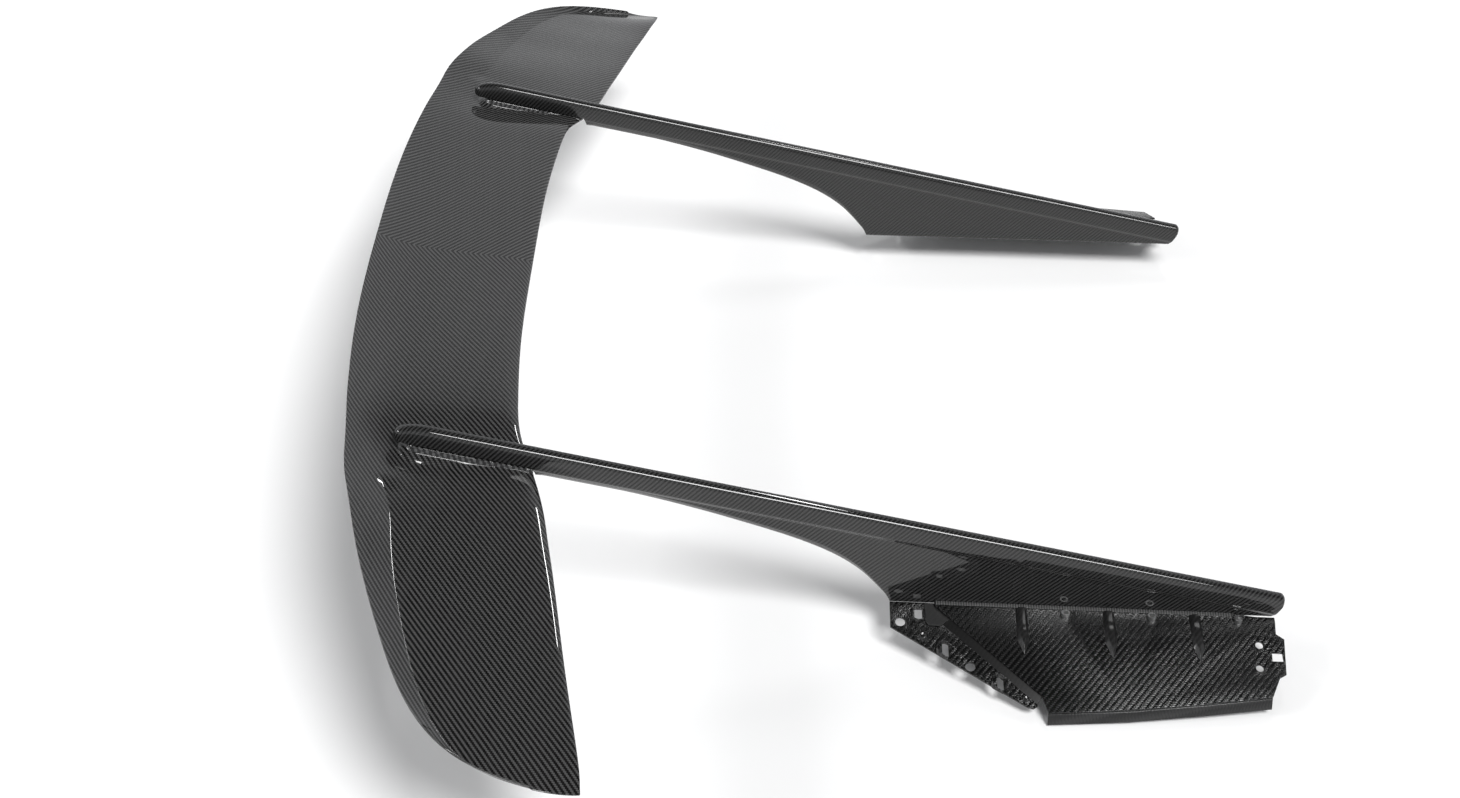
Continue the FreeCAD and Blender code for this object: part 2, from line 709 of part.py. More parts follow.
def build_rear_flange():
    """Clip flange along the diagonal edge, one step below the panel."""
    corners = [(foot_x(341), 341), (478, 341), (588, 171), (590, 163), (585.5, 156.5)]
    corners += [(582, 159.5), (454, 291), (foot_x(291), 291)]
    outline = [panel_point(x, y) for x, y in corners]
    body, sketch, plane = body_with_sketch("rear_flange_right", "flange_outline", outline)
    pad(body, sketch, "flange_pad", "dims.flange_thk", True)

    def openings(target):
        for x, y in ((470, 328), (533, 240)):
            draw_circle(target, panel_point(x, y), 6.5)
        for x, y, wide, deep in ((458, 304, 8, 5), (509, 271, 10, 4), (555, 203, 10, 4)):
            slot = ((x - wide, y - deep), (x + wide, y - deep), (x + wide, y + deep), (x - wide, y + deep))
            draw_loop(target, [panel_point(*c) for c in slot])

    pocket_through(body, plane, "flange_openings", openings)
    body.Placement = panel_placement(-DIM["flange_drop"])
    mirrored("rear_flange_left", body)


def build_step_wall():
    """Sloping wall under the joint of panel and rear flange."""
    drop = math.tan(math.radians(DIM["panel_tilt"]))
    rise = 1 / math.cos(math.radians(DIM["panel_tilt"]))
    (x_in, y_in), (x_out, y_out) = PANEL_REAR
    run = Vector(-(x_out - x_in), y_out - y_in, 0).normalize()
    outward = Vector(run.y, -run.x, 0)
    under = DIM["panel_thk"] * rise + 0.15
    low = (DIM["flange_drop"] + DIM["flange_thk"]) * rise + 0.15
    thick = 1.6
    ring = [(-12, under), (-1, under), (WALL_RUN - 1, low), (WALL_RUN + 4, low),
            (WALL_RUN + 4, low + thick), (WALL_RUN - 2, low + thick), (-2, under + thick), (-12, under + thick)]
    wires = []
    for x, y in ((x_in + 3, y_in - 3), (x_out, y_out)):
        points = []
        for reach, depth in ring:
            spot = Vector(-x, y, 0) + outward * reach
            level = (spot.x + DIM["arm_offset"]) * drop
            points.append(Vector(spot.x, spot.y, level - depth))
        wires.append(closed_polygon(points))
    pairs("step_wall", Part.makeLoft(wires, True, True))


def build_bracket():
    """Front bracket under the panel's window, with keyholes and a slot."""
    corners = [(464, -116), (545, -108), (545, -140), (530, -165), (478, -170), (464, -152)]
    outline = [panel_point(x, y) for x, y in corners]
    body, sketch, plane = body_with_sketch("front_bracket_right", "bracket_outline", outline)
    pad(body, sketch, "bracket_pad", "dims.bracket_thk", True)

    def openings(target):
        draw_circle(target, panel_point(488, -136), 5)
        draw_circle(target, panel_point(522, -132), 5)
        draw_loop(target, [panel_point(*c) for c in ((499, -151), (511, -150), (511, -164), (499, -164))])

    pocket_through(body, plane, "bracket_openings", openings)
    body.Placement = panel_placement(-DIM["panel_thk"] - DIM["bond_gap"])
    mirrored("front_bracket_left", body)


# --------------------------------------------------------------------- build
build_blade()
build_arms()
build_seats()
build_bolts()
build_panel()
build_lip()
build_ribs()
build_bushes()
build_strip()
build_rear_flange()
build_step_wall()
build_bracket()
doc.recompute()

TYPES = ("Part::Feature", "PartDesign::Body", "Part::Mirroring")
parts = [item for item in doc.Objects if item.TypeId in TYPES]
for item in doc.Objects:
    if "Invalid" in item.State or "Error" in item.State:
        raise RuntimeError("%s: %s" % (item.Label, item.State))
for item in parts:
    if item.Shape.isNull() or not item.Shape.isValid():
        raise RuntimeError("%s has a bad shape" % item.Label)

os.makedirs("parts", exist_ok=True)
for item in parts:
    item.Shape.exportStep("parts/%s.step" % item.Label)
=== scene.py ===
"""A racing rear wing in carbon fibre: one blade under two long arms.

Each arm runs forward from its seat on the blade, flares into a fin and ends in
a bolted deck panel. Sizes are in metres, +X is the car's left, +Y rearward and
+Z up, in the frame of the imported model.
"""

from __future__ import annotations

import json
import logging
import math
from dataclasses import dataclass, field, replace
from enum import Enum
from typing import Sequence

import bmesh
import bpy
from bmesh.types import BMesh, BMVert
from bpy.types import Light, Material, Mesh, Node, NodeSocket, NodeTree, Object
from mathutils import Matrix, Quaternion, Vector


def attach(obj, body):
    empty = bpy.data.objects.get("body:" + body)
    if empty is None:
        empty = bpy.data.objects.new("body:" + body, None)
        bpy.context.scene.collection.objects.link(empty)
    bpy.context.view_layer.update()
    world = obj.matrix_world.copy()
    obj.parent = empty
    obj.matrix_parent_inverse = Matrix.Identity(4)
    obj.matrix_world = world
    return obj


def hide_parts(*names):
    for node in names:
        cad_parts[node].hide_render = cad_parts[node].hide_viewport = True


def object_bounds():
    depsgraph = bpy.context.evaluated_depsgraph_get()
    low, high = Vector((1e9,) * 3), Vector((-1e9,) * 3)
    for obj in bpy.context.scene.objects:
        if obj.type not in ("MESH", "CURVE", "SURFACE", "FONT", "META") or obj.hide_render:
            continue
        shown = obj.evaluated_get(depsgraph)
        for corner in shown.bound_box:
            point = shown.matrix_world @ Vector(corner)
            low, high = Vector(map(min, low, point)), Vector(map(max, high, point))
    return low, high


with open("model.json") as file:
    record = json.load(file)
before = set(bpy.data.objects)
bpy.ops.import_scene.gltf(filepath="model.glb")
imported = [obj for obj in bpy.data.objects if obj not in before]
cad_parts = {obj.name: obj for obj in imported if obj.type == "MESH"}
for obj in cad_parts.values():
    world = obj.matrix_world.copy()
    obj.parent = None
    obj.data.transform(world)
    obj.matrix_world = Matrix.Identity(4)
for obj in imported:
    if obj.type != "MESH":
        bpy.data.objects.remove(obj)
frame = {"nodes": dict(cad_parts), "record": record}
CAD_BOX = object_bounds()

LOG = logging.getLogger("rear_wing")
MM = 0.001
FLOAT = "NodeSocketFloat"
VECTOR = "NodeSocketVector"
CLOTH_UV = "cloth"
WELD = 0.01 * MM
FLAT_ANGLE = math.radians(0.6)
HARD_ANGLE = math.radians(28)
PANEL_TILT = math.tan(math.radians(12.7))
Number = float | int
Colour = tuple[float, float, float, float]


class Side(Enum):
    """The car's two sides, with the sign of their X."""

    RIGHT = -1
    LEFT = 1

    @property
    def tag(self) -> str:
        """Ending of the names of this side's pieces."""
        return self.name.lower()


class ClothLay(Enum):
    """How a cloth lies on a moulding."""

    UNROLLED = "unrolled"
    PLAN = "plan"


# ------------------------------------------------------------------ node work
class NodeBench:
    """Adds and wires nodes in one node tree."""

    def __init__(self, tree: NodeTree) -> None:
        """Keep the tree that the nodes go into."""
        self.tree = tree

    def add(self, kind: str, **settings: object) -> Node:
        """Add a node and set its properties.

        Args:
            kind: The node's type name.
            **settings: Property values by name.

        Returns:
            The new node.
        """
        node = self.tree.nodes.new(kind)
        for name, value in settings.items():
            setattr(node, name, value)
        return node

    def feed(self, socket: NodeSocket, value: object) -> None:
        """Link an output to a socket, or set the socket to a plain value."""
        if isinstance(value, NodeSocket):
            self.tree.links.new(value, socket)
        elif value is not None:
            socket.default_value = value

    def math(self, operation: str, *values: object) -> NodeSocket:
        """Add a Math node.

        Args:
            operation: The operation's name.
            *values: Its inputs, as sockets or numbers.

        Returns:
            The result socket.
        """
        node = self.add("ShaderNodeMath", operation=operation)
        for socket, value in zip(node.inputs, values):
            self.feed(socket, value)
        return node.outputs[0]

    def times(self, first: object, second: object) -> NodeSocket:
        """Multiply two values."""
        return self.math("MULTIPLY", first, second)

    def plus(self, first: object, second: object) -> NodeSocket:
        """Add two values."""
        return self.math("ADD", first, second)

    def minus(self, first: object, second: object) -> NodeSocket:
        """Take the second value from the first."""
        return self.math("SUBTRACT", first, second)

    def span(self, value: object, low: Number, high: Number,
             to_low: Number = 0.0, to_high: Number = 1.0) -> NodeSocket:
        """Map a value from one range to another, held inside it.

        Args:
            value: The input socket.
            low: Input that gives to_low.
            high: Input that gives to_high.
            to_low: First end of the result.
            to_high: Second end of the result.

        Returns:
            The mapped value.
        """
        node = self.add("ShaderNodeMapRange", interpolation_type="SMOOTHSTEP")
        ends = (("From Min", low), ("From Max", high), ("To Min", to_low), ("To Max", to_high))
        for name, number in ends:
            node.inputs[name].default_value = number
        self.feed(node.inputs["Value"], value)
        return node.outputs["Result"]

    def noise(self, vector: object, scale: object, detail: Number = 2.0) -> NodeSocket:
        """Add a noise texture and return its factor."""
        node = self.add("ShaderNodeTexNoise")
        self.feed(node.inputs["Vector"], vector)
        self.feed(node.inputs["Scale"], scale)
        node.inputs["Detail"].default_value = detail
        return node.outputs["Fac"]

    def blend(self, factor: object, first: object, second: object) -> NodeSocket:
        """Mix two colours by a factor and return the result."""
        node = self.add("ShaderNodeMix", data_type="RGBA")
        colours = [s for s in node.inputs if s.type == "RGBA"]
        self.feed(node.inputs["Factor"], factor)
        self.feed(colours[0], first)
        self.feed(colours[1], second)
        return [s for s in node.outputs if s.type == "RGBA"][0]


class SharedEffect:
    """A shader node group with named sockets, built once."""

    name = "effect"
    takes: tuple[tuple[str, str, object], ...] = ()
    gives: tuple[tuple[str, str], ...] = ()

    def __init__(self) -> None:
        """Make the group and its sockets, then wire its inside."""
        self.tree = bpy.data.node_groups.new(self.name, "ShaderNodeTree")
        for label, kind, default in self.takes:
            socket = self.tree.interface.new_socket(label, in_out="INPUT", socket_type=kind)
            if default is not None:
                socket.default_value = default
        for label, kind in self.gives:
            self.tree.interface.new_socket(label, in_out="OUTPUT", socket_type=kind)
        self.bench = NodeBench(self.tree)
        self.source = self.bench.add("NodeGroupInput").outputs
        self.sink = self.bench.add("NodeGroupOutput").inputs
        self.wire()

    def wire(self) -> None:
        """Wire the inside of the group."""
        raise NotImplementedError

    def place(self, bench: NodeBench, **values: object) -> Node:
        """Put the group in a material.

        Args:
            bench: The material's bench.
            **values: Inputs by socket name, with _ for a space.

        Returns:
            The group node.
        """
        node = bench.add("ShaderNodeGroup", node_tree=self.tree)
        for label, value in values.items():
            bench.feed(node.inputs[label.replace("_", " ")], value)
        return node


class TwillCloth(SharedEffect):
    """Two-by-two twill, laid the same way about the car's centre plane."""

    name = "twill_cloth"
    takes = (("Across", FLOAT, 0.0), ("Along", FLOAT, 0.0),
             ("Tow", FLOAT, 0.002), ("Turn", FLOAT, 0.0),
             ("Waviness", FLOAT, 0.15))
    gives = (("Warp", FLOAT), ("Height", FLOAT), ("Tow Shade", FLOAT))

    def wire(self) -> None:
        """Turn the plane, count the tows and shape one float of each."""
        b = self.bench
        src = self.source
        across = b.math("ABSOLUTE", src["Across"])
        join = b.add("ShaderNodeCombineXYZ")
        b.feed(join.inputs[0], across)
        b.feed(join.inputs[1], src["Along"])
        swing = b.minus(b.noise(join.outputs[0], 9.0), 0.5)
        drift = b.times(swing, src["Waviness"])
        sine = b.math("SINE", src["Turn"])
        cosine = b.math("COSINE", src["Turn"])
        along = src["Along"]
        first = b.plus(b.times(across, cosine), b.times(along, sine))
        second = b.minus(b.times(along, cosine), b.times(across, sine))
        p = b.plus(b.math("DIVIDE", first, src["Tow"]), b.times(drift, 6.0))
        q = b.plus(b.math("DIVIDE", second, src["Tow"]), drift)
        i = b.math("FLOOR", p)
        j = b.math("FLOOR", q)
        warp_run = b.math("FLOORED_MODULO", b.plus(q, i), 4.0)
        weft_run = b.math("FLOORED_MODULO", b.plus(j, p), 4.0)
        warp = b.math("LESS_THAN", b.math("FLOORED_MODULO", b.plus(j, i), 4.0), 2.0)
        warp_crown = self.crown(b.math("FRACT", p), b.times(warp_run, 0.5))
        weft_place = b.times(b.minus(weft_run, 2.0), 0.5)
        weft_crown = self.crown(b.math("FRACT", q), weft_place)
        not_warp = b.minus(1.0, warp)
        warp_height = b.times(warp, warp_crown)
        height = b.plus(warp_height, b.times(not_warp, weft_crown))
        # A random brightness for each tow, which the carbon finishes paint into their colour as a
        # per-tow glint.
        shade = b.add("ShaderNodeTexWhiteNoise", noise_dimensions="2D")
        pair = b.add("ShaderNodeCombineXYZ")
        b.feed(pair.inputs[0], b.times(warp, i))
        b.feed(pair.inputs[1], b.times(not_warp, j))
        b.feed(shade.inputs["Vector"], pair.outputs[0])
        b.feed(self.sink["Warp"], warp)
        b.feed(self.sink["Height"], height)
        b.feed(self.sink["Tow Shade"], shade.outputs["Value"])

    def crown(self, across: object, along: object) -> NodeSocket:
        """Height of a tow from its place across and along one float."""
        b = self.bench
        round_across = b.math("SINE", b.times(across, math.pi))
        round_along = b.math("ABSOLUTE", b.math("SINE", b.times(along, math.pi)))
        return b.times(b.math("POWER", round_across, 0.6), b.math("POWER", round_along, 0.5))


class HandlingMarks(SharedEffect):
    """Faint dust, wipe marks and small pits of a used surface."""

    name = "handling_marks"
    takes = (("Position", VECTOR, None), ("Roughness", FLOAT, 0.2),
             ("Amount", FLOAT, 0.05))
    gives = (("Roughness", FLOAT), ("Dust", FLOAT), ("Height", FLOAT))

    def wire(self) -> None:
        """Add broad wipes and fine dust to the roughness."""
        b = self.bench
        src = self.source
        wipes = b.span(b.noise(src["Position"], 14.0, 4.0), 0.35, 0.7)
        dust = b.span(b.noise(src["Position"], 420.0, 3.0), 0.62, 0.78)
        rough = b.plus(src["Roughness"], b.times(wipes, src["Amount"]))
        rough = b.plus(rough, b.times(dust, b.times(src["Amount"], 1.5)))
        b.feed(self.sink["Roughness"], rough)
        b.feed(self.sink["Dust"], dust)
        b.feed(self.sink["Height"], b.noise(src["Position"], 160.0, 2.0))


class TurnedMetal(SharedEffect):
    """Fine lathe rings and rubbed edges on small metal parts."""

    name = "turned_metal"
    takes = (("Position", VECTOR, None), ("Roughness", FLOAT, 0.3))
    gives = (("Roughness", FLOAT), ("Height", FLOAT), ("Rub", FLOAT))

    def wire(self) -> None:
        """Stretch noise into rings and brighten the corners."""
        b = self.bench
        src = self.source
        scale = b.add("ShaderNodeVectorMath", operation="MULTIPLY")
        b.feed(scale.inputs[0], src["Position"])
        scale.inputs[1].default_value = (1.0, 1.0, 9.0)
        rings = b.noise(scale.outputs[0], 900.0, 1.0)
        rub = b.span(b.add("ShaderNodeNewGeometry").outputs["Pointiness"], 0.5, 0.58)
        rough = b.plus(src["Roughness"], b.times(b.minus(rings, 0.5), 0.25))
        b.feed(self.sink["Roughness"], rough)
        b.feed(self.sink["Height"], rings)
        b.feed(self.sink["Rub"], rub)


@dataclass(frozen=True)
class Effects:
    """The node groups that the finishes share."""

    twill: TwillCloth
    marks: HandlingMarks
    turned: TurnedMetal


def grey(value: float, warmth: float = 0.0) -> Colour:
    """A near-neutral colour, a little warm or cool."""
    return (value * (1 + warmth), value, value * (1 - warmth), 1.0)


@dataclass(frozen=True)
class CarbonFinish:
    """A carbon-fibre skin: lacquered, or as it came off the bag, with the tows' sheen painted into its
    colour.
    """

    name: str
    lay: ClothLay = ClothLay.UNROLLED
    tow: float = 2.0 * MM
    turn: float = math.radians(6.0)
    # dark is the colour of the weft tows and light that of the warp tows; the gap between them is
    # painted sheen, standing in for the glint of the fibres under the lamps.
    dark: float = 0.0015
    light: float = 0.05
    shine: float = 0.06
    roughness: float = 0.45
    lacquer: float = 1.0
    lacquer_roughness: float = 0.03
    relief: float = 0.25
    relief_depth: float = 0.15 * MM
    puddles: float = 0.0
    marks: float = 0.05

    def build(self, effects: Effects) -> Material:
        """Make the material.

        Args:
            effects: The shared node groups.

        Returns:
            The material.
        """
        material, bench, shader = blank_material(self.name)
        place = bench.add("ShaderNodeNewGeometry").outputs["Position"]
        across, along = self.plane(bench, place)
        twill = effects.twill.place(bench, Across=across, Along=along, Tow=self.tow, Turn=self.turn)
        marks = effects.marks.place(bench, Position=place, Roughness=self.roughness, Amount=self.marks)
        # Painted sheen: warp tows lighter than weft tows and each tow given a random painted glint, then
        # darkened towards its edges so that every float carries a painted highlight along its crown.
        tone = bench.plus(bench.times(twill.outputs["Warp"], 0.85),
                          bench.times(twill.outputs["Tow Shade"], 0.08))
        tone = bench.times(tone, bench.span(twill.outputs["Height"], 0.0, 0.8, 0.3, 1.0))
        colour = bench.blend(tone, grey(self.dark), grey(self.light))
        height = twill.outputs["Height"]
        if self.puddles > 0:
            pool = bench.times(bench.noise(place, 130.0, 3.0), self.puddles)
            height = bench.plus(height, pool)
        colour = bench.blend(bench.times(marks.outputs["Dust"], 0.02), colour, grey(0.4))
        bench.feed(shader.inputs["Base Color"], colour)
        bench.feed(shader.inputs["Roughness"], marks.outputs["Roughness"])
        shader.inputs["Specular IOR Level"].default_value = self.shine
        shader.inputs["Coat Weight"].default_value = self.lacquer
        shader.inputs["Coat Roughness"].default_value = self.lacquer_roughness
        add_relief(bench, shader, height, self.relief, self.relief_depth)
        return material

    def plane(self, bench: NodeBench, place: NodeSocket) -> tuple:
        """The two cloth coordinates, across the car and along it.

        Args:
            bench: The material's bench.
            place: The surface position.

        Returns:
            The across and along sockets.
        """
        if self.lay is ClothLay.UNROLLED:
            place = bench.add("ShaderNodeUVMap", uv_map=CLOTH_UV).outputs["UV"]
        parts = bench.add("ShaderNodeSeparateXYZ")
        bench.feed(parts.inputs[0], place)
        if self.lay is ClothLay.PLAN:
            return parts.outputs[0], bench.times(parts.outputs[1], -1.0)
        return parts.outputs[0], parts.outputs[1]


@dataclass(frozen=True)
class MetalFinish:
    """Turned or milled metal."""

    name: str
    tone: float
    roughness: float

    def build(self, effects: Effects) -> Material:
        """Make the material from the shared groups."""
        material, bench, shader = blank_material(self.name)
        place = bench.add("ShaderNodeNewGeometry").outputs["Position"]
        turned = effects.turned.place(bench, Position=place, Roughness=self.roughness)
        rough = turned.outputs["Roughness"]
        marks = effects.marks.place(bench, Position=place, Roughness=rough, Amount=0.12)
        colour = bench.blend(turned.outputs["Rub"], grey(self.tone), grey(min(0.9, self.tone * 1.6)))
        bench.feed(shader.inputs["Base Color"], colour)
        bench.feed(shader.inputs["Roughness"], marks.outputs["Roughness"])
        shader.inputs["Metallic"].default_value = 1.0
        add_relief(bench, shader, turned.outputs["Height"], 0.15, 0.05 * MM)
        return material


@dataclass(frozen=True)
class CellularFinish:
    """Foam or rubber: a matt body with fine cells."""

    name: str
    colour: Colour
    cell: float
    roughness: float = 0.85

    def build(self, effects: Effects) -> Material:
        """Make the material from cells and marks."""
        material, bench, shader = blank_material(self.name)
        place = bench.add("ShaderNodeNewGeometry").outputs["Position"]
        marks = effects.marks.place(bench, Position=place, Roughness=self.roughness, Amount=0.08)
        cells = bench.add("ShaderNodeTexVoronoi")
        bench.feed(cells.inputs["Vector"], place)
        cells.inputs["Scale"].default_value = 1.0 / self.cell
        shade = bench.span(cells.outputs["Distance"], 0.0, 0.6)
        dark = tuple(c * 0.6 for c in self.colour[:3]) + (1.0,)
        bench.feed(shader.inputs["Base Color"], bench.blend(shade, self.colour, dark))
        bench.feed(shader.inputs["Roughness"], marks.outputs["Roughness"])
        add_relief(bench, shader, cells.outputs["Distance"], 0.4, 0.2 * MM)
        return material


def add_relief(bench: NodeBench, shader: Node, height: object, strength: float,
               depth: float) -> None:
    """Raise a surface by a height, through the shader's normal."""
    bump = bench.add("ShaderNodeBump")
    bump.inputs["Strength"].default_value = strength
    bump.inputs["Distance"].default_value = depth
    bench.feed(bump.inputs["Height"], height)
    bench.feed(shader.inputs["Normal"], bump.outputs["Normal"])


def blank_material(name: str) -> tuple[Material, NodeBench, Node]:
    """Make an empty material with a shader wired to its output.

    Args:
        name: The material's name.

    Returns:
        The material, its bench and its shader node.
    """
    material = bpy.data.materials.new(name)
    material.use_nodes = True
    material.node_tree.nodes.clear()
    bench = NodeBench(material.node_tree)
    shader = bench.add("ShaderNodeBsdfPrincipled")
    output = bench.add("ShaderNodeOutputMaterial")
    bench.feed(output.inputs["Surface"], shader.outputs[0])
    return material, bench, shader


class Finishes:
    """Every finish on the wing, ready to put on pieces."""

    def __init__(self) -> None:
        """Build the shared groups and the materials."""
        effects = Effects(TwillCloth(), HandlingMarks(), TurnedMetal())
        self.blade = CarbonFinish("blade_lacquer", light=0.078).build(effects)
        self.blade_under = CarbonFinish("blade_underside_lacquer", lacquer_roughness=0.08).build(effects)
        self.arm = CarbonFinish("arm_lacquer", light=0.045, tow=1.6 * MM).build(effects)
        self.arm_inside = CarbonFinish("arm_inner_satin", light=0.026, lacquer_roughness=0.16,
                                       tow=1.6 * MM, marks=0.1).build(effects)
        bag = CarbonFinish("panel_bag_side", lay=ClothLay.PLAN, tow=2.4 * MM, dark=0.0004, light=0.02,
                           lacquer=0.0, shine=0.6, relief=1.0, relief_depth=0.2 * MM, puddles=2.6,
                           roughness=0.15)
        self.panel = bag.build(effects)
        self.flange = replace(bag, name="flange_bag_side", puddles=6.0).build(effects)
        self.tape = replace(bag, name="joint_tape", tow=1.2 * MM, turn=math.radians(45), light=0.1,
                            puddles=1.0, roughness=0.35).build(effects)
        self.edge = replace(bag, name="outer_lip_tape", tow=3.0 * MM, turn=math.radians(-35),
                            light=0.014, puddles=1.5, roughness=0.3).build(effects)
        self.smooth = CarbonFinish("wall_smooth", lay=ClothLay.PLAN, light=0.006, relief=0.1, shine=0.3,
                                   lacquer=0.4, lacquer_roughness=0.3).build(effects)
        self.rib = CarbonFinish("rib_resin", lay=ClothLay.PLAN, light=0.012, relief=0.6, shine=0.3,
                                lacquer_roughness=0.1).build(effects)
        self.aluminium = MetalFinish("machined_aluminium", 0.62, 0.3).build(effects)
        self.steel = MetalFinish("plated_steel", 0.4, 0.28).build(effects)
        self.foam = CellularFinish("core_foam", (0.62, 0.52, 0.33, 1.0), 0.7 * MM).build(effects)
        rubber = (0.03, 0.03, 0.032, 1.0)
        self.gasket = CellularFinish("seat_gasket", rubber, 0.4 * MM, 0.7).build(effects)


# ------------------------------------------------------------------ mesh work
class SmoothRun:
    """Natural cubic curve through values at rising stations."""

    def __init__(self, stations: Sequence[float], values: Sequence[float]) -> None:
        """Solve for the bend at each station.

        Args:
            stations: Rising positions.
            values: The value at each.
        """
        self.t = list(stations)
        self.v = list(values)
        n = len(self.t)
        rise = [0.0] * n
        self.bend = [0.0] * n
        for k in range(1, n - 1):
            before = self.t[k] - self.t[k - 1]
            after = self.t[k + 1] - self.t[k]
            slope = (self.v[k + 1] - self.v[k]) / after - (self.v[k] - self.v[k - 1]) / before
            share = before / (before + after)
            pivot = share * rise[k - 1] + 2
            rise[k] = (share - 1) / pivot
            self.bend[k] = (6 * slope / (before + after) - share * self.bend[k - 1]) / pivot
        for k in range(n - 2, 0, -1):
            self.bend[k] += rise[k] * self.bend[k + 1]

    def __call__(self, at: float) -> float:
        """The curve's value at a station."""
        k = 0
        while k < len(self.t) - 2 and at > self.t[k + 1]:
            k += 1
        width = self.t[k + 1] - self.t[k]
        a = (self.t[k + 1] - at) / width
        b = 1 - a
        cubic = (a ** 3 - a) * self.bend[k] + (b ** 3 - b) * self.bend[k + 1]
        return a * self.v[k] + b * self.v[k + 1] + cubic * width ** 2 / 6


def table(at: float, pairs: Sequence[tuple[float, float]]) -> float:
    """Straight-line reading of a table, held at its ends."""
    if at <= pairs[0][0]:
        return pairs[0][1]
    for (x0, y0), (x1, y1) in zip(pairs, pairs[1:]):
        if at <= x1:
            return y0 + (y1 - y0) * (at - x0) / (x1 - x0)
    return pairs[-1][1]


def steps(marks: Sequence[tuple[float, int]]) -> list[float]:
    """Positions from a list of marks and the number of steps up to each.

    Args:
        marks: (position, steps since the mark before) pairs.

    Returns:
        The rising positions.
    """
    out = [marks[0][0]]
    for (low, _), (high, count) in zip(marks, marks[1:]):
        out += [low + (high - low) * (k + 1) / count for k in range(count)]
    return out


def add_piece(name: str, mesh: Mesh, material: Material,
              replaced: Sequence[str], crease: float = 40.0) -> Object:
    """Put a mesh in the scene as a piece of the wing.

    Args:
        name: The piece's name.
        mesh: Its mesh, in the frame of the wing.
        material: Its finish.
        replaced: The CAD nodes it stands for.
        crease: Edges sharper than this many degrees stay sharp.

    Returns:
        The new object.
    """
    mesh.shade_smooth()
    mesh.set_sharp_from_angle(angle=math.radians(crease))
    mesh.materials.clear()
    mesh.materials.append(material)
    piece = bpy.data.objects.new(name, mesh)
    bpy.context.scene.collection.objects.link(piece)
    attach(piece, "root")
    if replaced:
        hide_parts(*replaced)
    LOG.info("made %s: %d faces", name, len(mesh.polygons))
    return piece


def grid_mesh(name: str, rings: Sequence[Sequence[Vector]],
              cloth: Sequence[Sequence[tuple[float, float]]], flip: bool = False) -> Mesh:
    """A closed tube through rings of points, capped at both ends.

    Args:
        name: The mesh's name.
        rings: Equal-length closed rings, in order.
        cloth: The cloth coordinates of every point.
        flip: Turn the faces over.

    Returns:
        The mesh, with its cloth coordinates.
    """
    count = len(rings[0])
    verts = [p for ring in rings for p in ring]
    flat = [c for ring in cloth for c in ring]
    faces = []
    for r in range(len(rings) - 1):
        for k in range(count):
            n = (k + 1) % count
            faces.append((r * count + k, r * count + n, (r + 1) * count + n, (r + 1) * count + k))
    faces.append(tuple(reversed(range(count))))
    faces.append(tuple(range(len(verts) - count, len(verts))))
    if flip:
        faces = [tuple(reversed(f)) for f in faces]
    mesh = bpy.data.meshes.new(name)
    mesh.from_pydata([tuple(v) for v in verts], [], faces)
    layer = mesh.uv_layers.new(name=CLOTH_UV)
    for loop in mesh.loops:
        layer.data[loop.index].uv = flat[loop.vertex_index]
    mesh.validate()
    return mesh


def settle(work: BMesh, mesh: Mesh) -> Mesh:
    """Turn the faces outward, write them to the mesh and free the work."""
    bmesh.ops.recalc_face_normals(work, faces=work.faces)
    work.to_mesh(mesh)
    work.free()
    return mesh


def softened_copy(node: str, name: str, width: float) -> Mesh:
    """A copy of a CAD part's mesh with its hard edges broken.

    Args:
        node: The CAD node.
        name: The new mesh's name.
        width: Width of the broken edge.

    Returns:
        The new mesh.
    """
    mesh = frame["nodes"][node].data.copy()
    mesh.name = name
    work = bmesh.new()
    work.from_mesh(mesh)
    bmesh.ops.remove_doubles(work, verts=work.verts, dist=WELD)
    bmesh.ops.dissolve_limit(work, angle_limit=FLAT_ANGLE, verts=work.verts, edges=work.edges)
    hard = [e for e in work.edges if len(e.link_faces) == 2 and e.calc_face_angle(0.0) > HARD_ANGLE]
    bmesh.ops.bevel(work, geom=hard, offset=width, segments=2, affect="EDGES", clamp_overlap=True,
                    profile=0.6)
    return settle(work, mesh)


# ----------------------------------------------------------------------- arms
@dataclass
class ArmLine:
    """The line of an arm: where its top and its centre plane run (mm)."""

    offset: float = 435.5
    toe: float = math.tan(math.radians(0.5))
    slope: float = math.tan(math.radians(11.5))
    top_height: float = 62.0
    seat_rear: float = 955.0
    seat_front: float = 798.0
    cap_drop: float = 25.0

    def centre(self, y: float) -> float:
        """Outboard distance of the centre plane."""
        return self.offset - self.toe * y

    def top(self, y: float) -> float:
        """Height of the top line."""
        return self.top_height + self.slope * y

    def seat(self, y: float) -> float:
        """Height of the seat on the blade."""
        return self.top(y) - self.cap_drop


